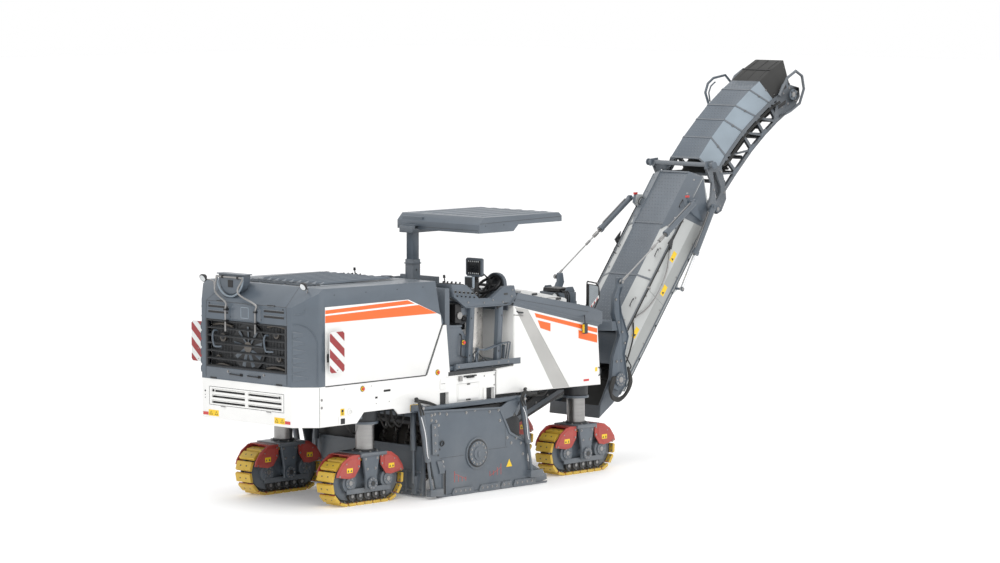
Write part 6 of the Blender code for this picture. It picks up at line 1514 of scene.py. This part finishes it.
        # Black bracket that hangs under each stay barrel, and its hose.
        ends.use(2).prism([(6.62, 3.20), (6.70, 3.10), (6.76, 3.32)], *span(s, 0.53, 0.545))
        ends.use(2).rod(low(3.02, 0.40, s * 0.50), (6.68, s * 0.537, 3.20), 0.014, 8)
    low_sheet(ends.use(0), [(1.00, 0.372), (1.50, 0.456), (1.50, 0.464), (1.00, 0.386)], -0.465, 0.465)
    ends.done(EDGE)

    lines = Piece("lower_section_hoses", "lower_section", "black_rubber", RUBBER, STEEL)
    for s in (-1, 1):
        for i in range(2):
            y = s * (0.512 + 0.012 * i)
            lines.use(0).hose([low(0.95, 0.44, y), low(1.6, 0.452 + 0.012 * i, y),
                               low(2.6, 0.452 + 0.012 * i, y),
                               low(3.6, 0.452 + 0.012 * i, y), low(3.95, 0.44, y)], 0.010, 4, 6)
        for k in (1.5, 2.3, 3.1, 3.8):
            low_sheet(lines.use(1), [(k, 0.438), (k + 0.03, 0.438), (k + 0.03, 0.478), (k, 0.478)], s * 0.498,
                      s * 0.538)
        lines.use(1).hose([low(3.02, 0.43, s * 0.53), low(2.70, 0.30, s * 0.545), low(2.30, 0.27, s * 0.545),
                           low(2.00, 0.34, s * 0.54), low(1.80, 0.44, s * 0.52)], 0.013, 6, 8)
        lines.use(0).hose([low(1.72, 0.43, s * 0.515), low(1.50, 0.30, s * 0.535), low(1.10, 0.22, s * 0.545),
                           low(0.93, 0.30, s * 0.535)], 0.012, 6, 7)
    lines.done(SHARP)

    belt = Piece("belt_cleats_lower", "lower_section", "black_rubber", RUBBER, STEEL)
    for i in range(17):
        k = 0.86 + i * 0.185
        belt.use(0).strip([low(k, 0.093, -0.40), low(k + 0.05, 0.093, 0.0), low(k, 0.093, 0.40)], 0.009,
                          0.011,
                          (RUN.x, 0, RUN.y))
    belt.use(0).prism([low(k, lift, 0)[::2] for k, lift in ((0.80, -0.030), (3.93, -0.030), (3.93, -0.020),
                                                            (0.80, -0.020))],
                      -0.40, 0.40)
    belt.done(SHARP)


def yoke_details():
    """Trims of the yoke, and of the stay and fold cylinders with their rods."""
    yoke = Piece("yoke_trim", "yoke", "slate_paint", SLATE, STEEL, DARK, RUBBER)
    for s in (-1, 1):
        face = s * 0.615
        yoke.use(0).rod((LIFT_X, s * 0.612, LIFT_Z), (LIFT_X, s * 0.640, LIFT_Z), 0.105, 28)
        yoke.use(1).rod((LIFT_X, s * 0.636, LIFT_Z), (LIFT_X, s * 0.648, LIFT_Z), 0.045, 22)
        for u, v in around(10, 0.080):
            yoke.use(1).bolt((LIFT_X + u, s * 0.639, LIFT_Z + v), (0, s, 0), 0.009, 0.006)
        rim = [(5.41, 2.62), (5.33, 2.48), (5.33, 2.25), (5.45, 1.90), (5.31, 1.60), (5.27, 1.25),
               (5.33, 1.13)]
        yoke.use(0).strip([(x + 0.008, s * 0.600, z) for x, z in rim], 0.030, 0.005, (0, s, 0))
        rim = [(5.60, 1.13), (5.63, 1.30), (5.57, 1.62), (5.66, 1.88), (5.50, 2.24), (5.46, 2.48),
               (5.53, 2.62)]
        yoke.use(0).strip([(x - 0.008, s * 0.600, z) for x, z in rim], 0.030, 0.005, (0, s, 0))
        for x, z in ((5.38, 2.44), (5.44, 2.10), (5.52, 1.95), (5.40, 1.52), (5.50, 1.52), (5.58, 1.78)):
            yoke.use(2).rod((x, face - s * 0.001, z), (x, face + s * 0.003, z), 0.022, 18)
            yoke.use(1).bolt((x, face + s * 0.002, z), (0, s, 0), 0.012)
        # Gusset plate where the beam meets the arm.
        yoke.use(0).prism([(5.33, 2.24), (5.43, 2.00), (5.43, 2.14), (5.36, 2.36)], *span(s, 0.54, 0.566))
        for i in range(3):
            yoke.use(3).hose([(5.30 + 0.03 * i, s * 0.632, 1.30),
                              (5.22, s * (0.645 + 0.012 * i), 1.10 - 0.03 * i),
                              (5.36, s * (0.650 + 0.012 * i), 0.98 - 0.02 * i),
                              (5.54, s * (0.650 + 0.012 * i), 1.02),
                              (5.66 + 0.02 * i, s * 0.640, 1.20), (5.64, s * 0.625, 1.42)], 0.019, 6, 8)
        yoke.use(2).hose([(5.64, s * 0.622, 1.36), (5.70, s * 0.63, 1.42), (5.63, s * 0.632, 1.52),
                          (5.58, s * 0.622, 1.60)],
                         0.010, 5, 6)
    yoke.use(0).strip([(5.12, 0.0, 2.125), (5.38, 0.0, 2.125)], 0.05, 0.006, ACROSS)
    yoke.done(EDGE)
    for name, s in SIDES:
        stay = Piece("stay_fittings_" + name, "stay_ropes", "worn_steel", STEEL, SLATE, DARK)
        y = s * 0.66
        eye, top = Vector((5.45, 0, 2.70)), Vector((7.10, 0, 3.80))
        d = (top - eye).normalized()
        stay.use(0).rod((5.45, y - s * 0.0155, 2.70), (5.45, y + s * 0.030, 2.70), 0.024, 18)
        stay.use(1).rod((5.45, y + s * 0.016, 2.70), (5.45, y + s * 0.022, 2.70), 0.036, 20)
        for a, b, r in ((0.03, 0.16, 0.018), (0.80, 0.90, 0.020)):
            p, q = eye + d * a, eye + d * b
            stay.use(0).rod((p.x, y, p.z), (q.x, y, q.z), r, 12)
        stay.done(FINE_EDGE)
        cap = Piece("stay_barrel_trim_" + name, "stay_barrels", "slate_paint", SLATE, STEEL, RUBBER)
        p, q = top - d * 0.76, top - d * 0.81
        cap.use(0).rod((p.x, y, p.z), (q.x, y, q.z), 0.052, 20)
        cap.use(1).rod((q.x, y, q.z), (q.x - d.x * 0.006, y, q.z - d.z * 0.006), 0.034, 20)
        a, b = top - d * 0.10, top - d * 0.70
        n = Vector((-d.z, 0, d.x))
        cap.use(1).pipe([(a.x + n.x * 0.045, y, a.z + n.z * 0.045), (a.x + n.x * 0.058, y, a.z + n.z * 0.058),
                         (b.x + n.x * 0.058, y, b.z + n.z * 0.058),
                         (b.x + n.x * 0.045, y, b.z + n.z * 0.045)],
                        0.008, 6)
        cap.done(FINE_EDGE)
        fold = Piece("fold_rod_trim_" + name, "fold_rods", "worn_steel", STEEL, SLATE)
        y = s * 0.605
        fold.use(0).rod((6.86, y - s * 0.0155, 2.50), (6.86, y + s * 0.030, 2.50), 0.024, 18)
        fold.use(1).rod((6.86, y + s * 0.016, 2.50), (6.86, y + s * 0.022, 2.50), 0.038, 20)
        fold.done(FINE_EDGE)
        trim = Piece("fold_barrel_trim_" + name, "fold_barrels", "slate_paint", SLATE, STEEL, RUBBER)
        top, foot = Vector((7.575, 0, 3.70)), Vector((6.86, 0, 2.50))
        d = (foot - top).normalized()
        p, q = top + d * 0.76, top + d * 0.81
        trim.use(0).rod((p.x, y, p.z), (q.x, y, q.z), 0.056, 20)
        n = Vector((-d.z, 0, d.x))
        for e, off in ((-1, 0.012), (-1, -0.012)):
            a, b = top + d * 0.12, top + d * 0.72
            trim.use(1).pipe([(a.x + n.x * 0.046 * e, y + off, a.z + n.z * 0.046 * e),
                              (a.x + n.x * 0.060 * e, y + off, a.z + n.z * 0.060 * e),
                              (b.x + n.x * 0.060 * e, y + off, b.z + n.z * 0.060 * e),
                              (b.x + n.x * 0.046 * e, y + off, b.z + n.z * 0.046 * e)], 0.007, 6)
        trim.done(FINE_EDGE)


UPPER_RIDGE = [(7.61, 4.42), (7.90, 4.72), (8.20, 4.98), (8.46, 5.19), (8.80, 5.42), (9.03, 5.55)]
UPPER_EDGE = [(7.76, 4.20), (7.98, 4.46), (8.37, 4.81), (8.68, 5.03), (9.00, 5.23), (9.10, 5.287)]


def upper_section():
    """Trims of the upper section: cover grid, flanks, fold frame, lattice, head hood, hoses and cleats."""
    cover = Piece("upper_cover_trim", "upper_section", "slate_paint", SLATE, PALE, DARK, STEEL, BLACK)
    for i in range(5):
        a, b = Vector(UPPER_RIDGE[i]), Vector(UPPER_RIDGE[i + 1])
        c, d = Vector(UPPER_EDGE[i]), Vector(UPPER_EDGE[i + 1])
        run = (b - a).normalized()
        n = Vector((-run.y, run.x))
        length = (b - a).length
        for k in range(int(length / 0.058)):
            for j in range(9):
                y = -0.24 + 0.06 * j + (0.03 if k % 2 else 0)
                if y > 0.26:
                    continue
                p = a + run * (0.03 + 0.058 * k)
                cover.use(0).rod((p.x, y, p.y), (p.x + n.x * 0.0035, y, p.y + n.y * 0.0035), 0.013, 6, 0.008)
        # Bolts and seams of the pale flanks.
        for s in (-1, 1):
            flank = Vector((0, s * 0.72, 0.69))
            for u in (0.03, 0.97):
                e, r = c.lerp(d, u), a.lerp(b, u)
                q = e.lerp(r, 0.5)
                cover.use(3).bolt((q.x, s * 0.384, q.y), tuple(flank), 0.010, 0.007)
            r0, e0 = a.lerp(b, 0.0), c.lerp(d, 0.0)
            cover.use(0).strip([(r0.x, s * 0.280, r0.y + 0.003), (e0.x, s * 0.492, e0.y + 0.004)], 0.014,
                               0.004,
                               (run.x, 0, run.y))
        cover.use(0).strip([(a.x, -0.278, a.y + 0.003), (a.x, 0.278, a.y + 0.003)], 0.012, 0.004,
                           (run.x, 0, run.y))
    cover.done(SHARP)

    frame_trim = Piece("upper_frame_trim", "upper_section", "slate_paint", SLATE, DARK, STEEL, RUBBER, BLACK)
    for s in (-1, 1):
        f = s * 0.545
        for x, z in ((7.54, 4.31), (7.66, 3.95), (7.60, 3.72), (7.80, 3.70), (7.90, 3.90), (7.82, 4.22)):
            frame_trim.use(2).bolt((x, f, z), (0, s, 0), 0.012)
        frame_trim.use(0).rod((7.73, f - s * 0.004, 3.66), (7.73, f + s * 0.022, 3.66), 0.055, 24)
        frame_trim.use(2).rod((7.73, f + s * 0.018, 3.66), (7.73, f + s * 0.030, 3.66), 0.030, 18)
        frame_trim.use(0).rod((7.53, s * 0.655, 4.335), (7.53, s * 0.675, 4.335), 0.052, 22)
        frame_trim.use(0).prism([(7.44, 4.28), (7.60, 4.30), (7.62, 4.40), (7.46, 4.39)],
                                *span(s, 0.545, 0.57))
        for x, z in ((9.30, 5.15), (9.45, 5.20), (9.64, 5.24), (9.66, 5.38), (9.48, 5.44), (9.34, 5.36)):
            frame_trim.use(2).bolt((x, s * 0.50, z), (0, s, 0), 0.011)
        frame_trim.use(0).rod((9.56, s * 0.498, 5.34), (9.56, s * 0.520, 5.34), 0.085, 28)
        frame_trim.use(2).rod((9.56, s * 0.516, 5.34), (9.56, s * 0.530, 5.34), 0.040, 20)
        frame_trim.use(4).prism([(9.22, 5.12), (9.40, 5.20), (9.40, 5.26), (9.22, 5.18)],
                                *span(s, 0.498, 0.503))
        frame_trim.use(0).prism([(9.20, 5.33), (9.44, 5.46), (9.42, 5.56), (9.30, 5.50)],
                                *span(s, 0.505, 0.516))
        frame_trim.use(4).prism([(9.28, 5.385), (9.40, 5.45), (9.385, 5.50), (9.33, 5.475)],
                                *span(s, 0.515, 0.518))
        for k in range(5):
            t = math.radians(72 * k)
            frame_trim.use(4).rod((9.56 + 0.062 * math.cos(t), s * 0.519, 5.34 + 0.062 * math.sin(t)),
                                  (9.56 + 0.062 * math.cos(t), s * 0.522, 5.34 + 0.062 * math.sin(t)), 0.014,
                                  12)
        for x, z in ((7.98, 4.10), (8.42, 4.49), (8.75, 4.77), (9.05, 4.99)):
            frame_trim.use(2).bolt((x, s * 0.50, z - 0.12), (0, s, 0), 0.009, 0.006)
        # Gussets of the lattice.
        for a, b in ((8.24, 4.19), (8.61, 4.525), (8.90, 4.745)):
            frame_trim.use(0).prism([(a - 0.09, b - 0.06), (a + 0.07, b + 0.05), (a + 0.02, b + 0.09),
                                     (a - 0.08, b + 0.02)],
                                    *span(s, 0.492, 0.504))
    frame_trim.use(0).pipe([(8.80, 0.49, 5.12), (8.80, 0.56, 5.20), (8.74, 0.57, 5.36), (8.80, 0.57, 5.50),
                            (8.93, 0.57, 5.58), (9.20, 0.56, 5.62), (9.30, 0.50, 5.48)], 0.020, 10)
    frame_trim.use(0).pipe([(8.83, 0.55, 5.22), (8.80, 0.55, 5.36), (8.85, 0.55, 5.46), (8.95, 0.55, 5.52)],
                           0.012, 8)
    for i, (x, z) in enumerate(((8.02, 4.02), (8.42, 4.38), (8.80, 4.68), (9.15, 4.92))):
        frame_trim.use(1).rod((x, -0.44, z + 0.03), (x, 0.44, z + 0.03), 0.030, 16)
    frame_trim.done(EDGE)

    hood = Piece("head_hood_trim", "upper_section", "black_rubber", RUBBER, STEEL, BLACK)
    for y in (-0.20, 0.0, 0.20):
        hood.use(0).strip([(9.05, y, 5.562), (9.30, y, 5.722), (9.58, y, 5.852)], 0.008, 0.004, ACROSS)
    hood.use(2).strip([(9.285, -0.278, 5.716), (9.285, 0.278, 5.716)], 0.010, 0.006, (0.84, 0, 0.54))
    for s in (-1, 1):
        hood.use(2).strip([(9.12, s * 0.489, 5.305), (9.36, s * 0.489, 5.435),
                           (9.50, s * 0.489, 5.51)], 0.006,
                          0.010,
                          (0, s, 0))
        for x, z in ((9.15, 5.345), (9.28, 5.415), (9.42, 5.50)):
            hood.use(1).bolt((x, s * 0.478, z), (0, s, 0), 0.009, 0.006)
    hood.done(FINE_EDGE)
    lines = Piece("upper_section_hoses", "upper_section", "black_rubber", RUBBER, STEEL)
    for s in (-1, 1):
        for i in range(2):
            y = s * (0.508 + 0.010 * i)
            z = 0.055 + 0.02 * i
            lines.use(0).hose([(7.90, y, 4.30), (8.02, y, 4.43 - z), (8.39, y, 4.78 - z), (8.70, y, 5.0 - z),
                               (9.02, y, 5.20 - z), (9.25, y, 5.30 - z)], 0.008, 5, 6)
    lines.done(SHARP)
    belt = Piece("belt_cleats_upper", "upper_section", "black_rubber", RUBBER)
    path = [Vector(p) for p in ((8.02, 4.182), (8.26, 4.445), (8.62, 4.755), (9.00, 5.005), (9.42, 5.225))]
    for a, b in zip(path, path[1:]):
        for k in range(2):
            p = a.lerp(b, 0.25 + 0.5 * k)
            d = (b - a).normalized()
            belt.strip([(p.x, -0.40, p.y), (p.x + d.x * 0.05, 0, p.y + d.y * 0.05), (p.x, 0.40, p.y)], 0.009,
                       0.010,
                       (d.x, 0, d.y))
    belt.done(SHARP)


def chassis_details():
    """Under the body: sleeve collars, tanks, hoses, the primary conveyor's cross bars, swivel washers."""
    under = Piece("chassis_trim", "machine", "dark_paint", DARK, SLATE, STEEL, RUBBER)
    for _, x, y, _ in LEGS:
        under.use(1).rod((x, y, 1.102), (x, y, 1.135), 0.188, 36)
        under.use(2).rod((x, y, 1.094), (x, y, 1.104), 0.150, 36)
        for u, v in around(8, 0.170):
            under.use(2).bolt((x + u, y + v, 1.103), (0, 0, -1), 0.009, 0.008)
    for i in range(8):
        t = i / 7
        px, pz = 3.12 + t * 1.70, 0.905 + t * 0.61
        under.use(0).strip([(px, -0.445, pz + 0.012), (px, 0.445, pz + 0.012)], 0.016, 0.012, (0.94, 0, 0.34))
        for s in (-1, 1):
            under.use(2).bolt((px, s * 0.44, pz - 0.14), (0, s, 0), 0.012)
    for s in (-1, 1):
        under.use(0).prism([(3.20, 0.80), (3.26, 0.80), (3.26, 0.86), (3.20, 0.86)], *span(s, 0.44, 0.46))
        under.use(1).strip([(3.10, s * 0.447, 0.70), (4.90, s * 0.447, 1.36)], 0.035, 0.006, UP)
        under.use(3).hose([(2.98, s * 0.52, 1.25), (3.10, s * 0.50, 1.02), (3.40, s * 0.48, 0.98),
                           (3.90, s * 0.48, 1.17),
                           (4.60, s * 0.48, 1.42)], 0.016, 6, 7)
        under.use(3).hose([(-0.35, s * 0.66, 1.30), (-0.18, s * 0.70, 1.02), (0.02, s * 0.62, 0.95),
                           (0.30, s * 0.66, 1.15),
                           (0.46, s * 0.68, 1.30)], 0.014, 6, 7)
        under.use(1).box(-1.05, -0.30, *span(s, 0.66, 1.08), 1.21, 1.50)
        under.use(1).box(3.32, 3.95, *span(s, 0.66, 1.08), 1.325, 1.40)
        for k in range(3):
            under.use(3).hose([(3.05 + 0.1 * k, s * (0.78 + 0.06 * k), 1.33),
                               (3.10 + 0.1 * k, s * (0.80 + 0.06 * k), 1.23),
                               (3.28 + 0.1 * k, s * (0.84 + 0.05 * k), 1.22),
                               (3.36 + 0.1 * k, s * (0.86 + 0.05 * k), 1.33)],
                              0.015, 5, 7)
    under.use(1).box(4.60, 4.63, -0.44, 0.44, 1.72, 1.76)
    for z in (1.80, 2.33):
        under.use(2).rod((SWIVEL_X, 0, z), (SWIVEL_X, 0, z - 0.002), 0.10, 26)
    under.done()


# ---------------------------------------------------------------- studio
def soft_light(name, location, target, size, power, colour=(1, 1, 1)):
    lamp = bpy.data.lights.new(name, "AREA")
    lamp.shape = "RECTANGLE"
    lamp.size, lamp.size_y = size
    lamp.energy = power
    lamp.color = colour
    ob = bpy.data.objects.new(name, lamp)
    ob.location = location
    ob.rotation_euler = (Vector(target) - Vector(location)).to_track_quat("-Z", "Y").to_euler()
    bpy.context.scene.collection.objects.link(ob)


def studio():
    """A white sweep with soft light from above and behind the camera."""
    floor = bpy.data.materials.new("studio_floor")
    floor.use_nodes = True
    shader = floor.node_tree.nodes["Principled BSDF"]
    shader.inputs["Base Color"].default_value = (0.93, 0.93, 0.93, 1)
    shader.inputs["Roughness"].default_value = 0.65
    shader.inputs["Emission Color"].default_value = (1, 1, 1, 1)
    shader.inputs["Emission Strength"].default_value = 0.16
    mesh = bpy.data.meshes.new("studio_floor")
    mesh.from_pydata([(-150, -150, 0), (150, -150, 0), (150, 150, 0), (-150, 150, 0)], [], [(0, 1, 2, 3)])
    mesh.materials.append(floor)
    ground = bpy.data.objects.new("studio_floor", mesh)
    bpy.context.scene.collection.objects.link(ground)
    world = bpy.data.worlds.new("studio_world")
    world.use_nodes = True
    back = world.node_tree.nodes["Background"]
    back.inputs["Color"].default_value = (1, 1, 1, 1)
    back.inputs["Strength"].default_value = 1.0
    bpy.context.scene.world = world
    soft_light("key", (-10, -9, 13), (0, 0, 1.5), (9, 7), 520, (1.0, 0.99, 0.97))
    soft_light("side", (3, -14, 6), (0, 0, 2.0), (10, 5), 160)
    soft_light("top", (0, 2, 15), (0, 0, 1.5), (16, 8), 420)
    scene = bpy.context.scene
    scene.view_settings.view_transform = "Standard"
    scene.view_settings.look = "None"
    scene.view_settings.exposure = 0.0


def camera():
    shot = bpy.data.cameras.new("camera")
    shot.lens = 144.7
    shot.sensor_width = 36
    shot.clip_end = 400
    ob = bpy.data.objects.new("camera", shot)
    ob.location = (-38.426 + SHIFT, -40.254, 7.905)
    yaw, pitch = math.radians(43.8), math.radians(-5.03)
    aim = Vector((math.cos(pitch) * math.cos(yaw), math.cos(pitch) * math.sin(yaw), math.sin(pitch)))
    ob.rotation_euler = aim.to_track_quat("-Z", "Y").to_euler()
    bpy.context.scene.collection.objects.link(ob)
    bpy.context.scene.camera = ob


dress_nodes()
for one in LEGS:
    track(*one)
    leg(*one)
drum_tools()
for label, sign in SIDES:
    side_plate(label, sign)
    console_side(label, sign)
milling_details()
chassis_details()
rear_face()
hood_details()
hood_stripes()
service_box()
platform_details()
canopy_details()
front_details()
lower_section()
yoke_details()
upper_section()
studio()
camera()
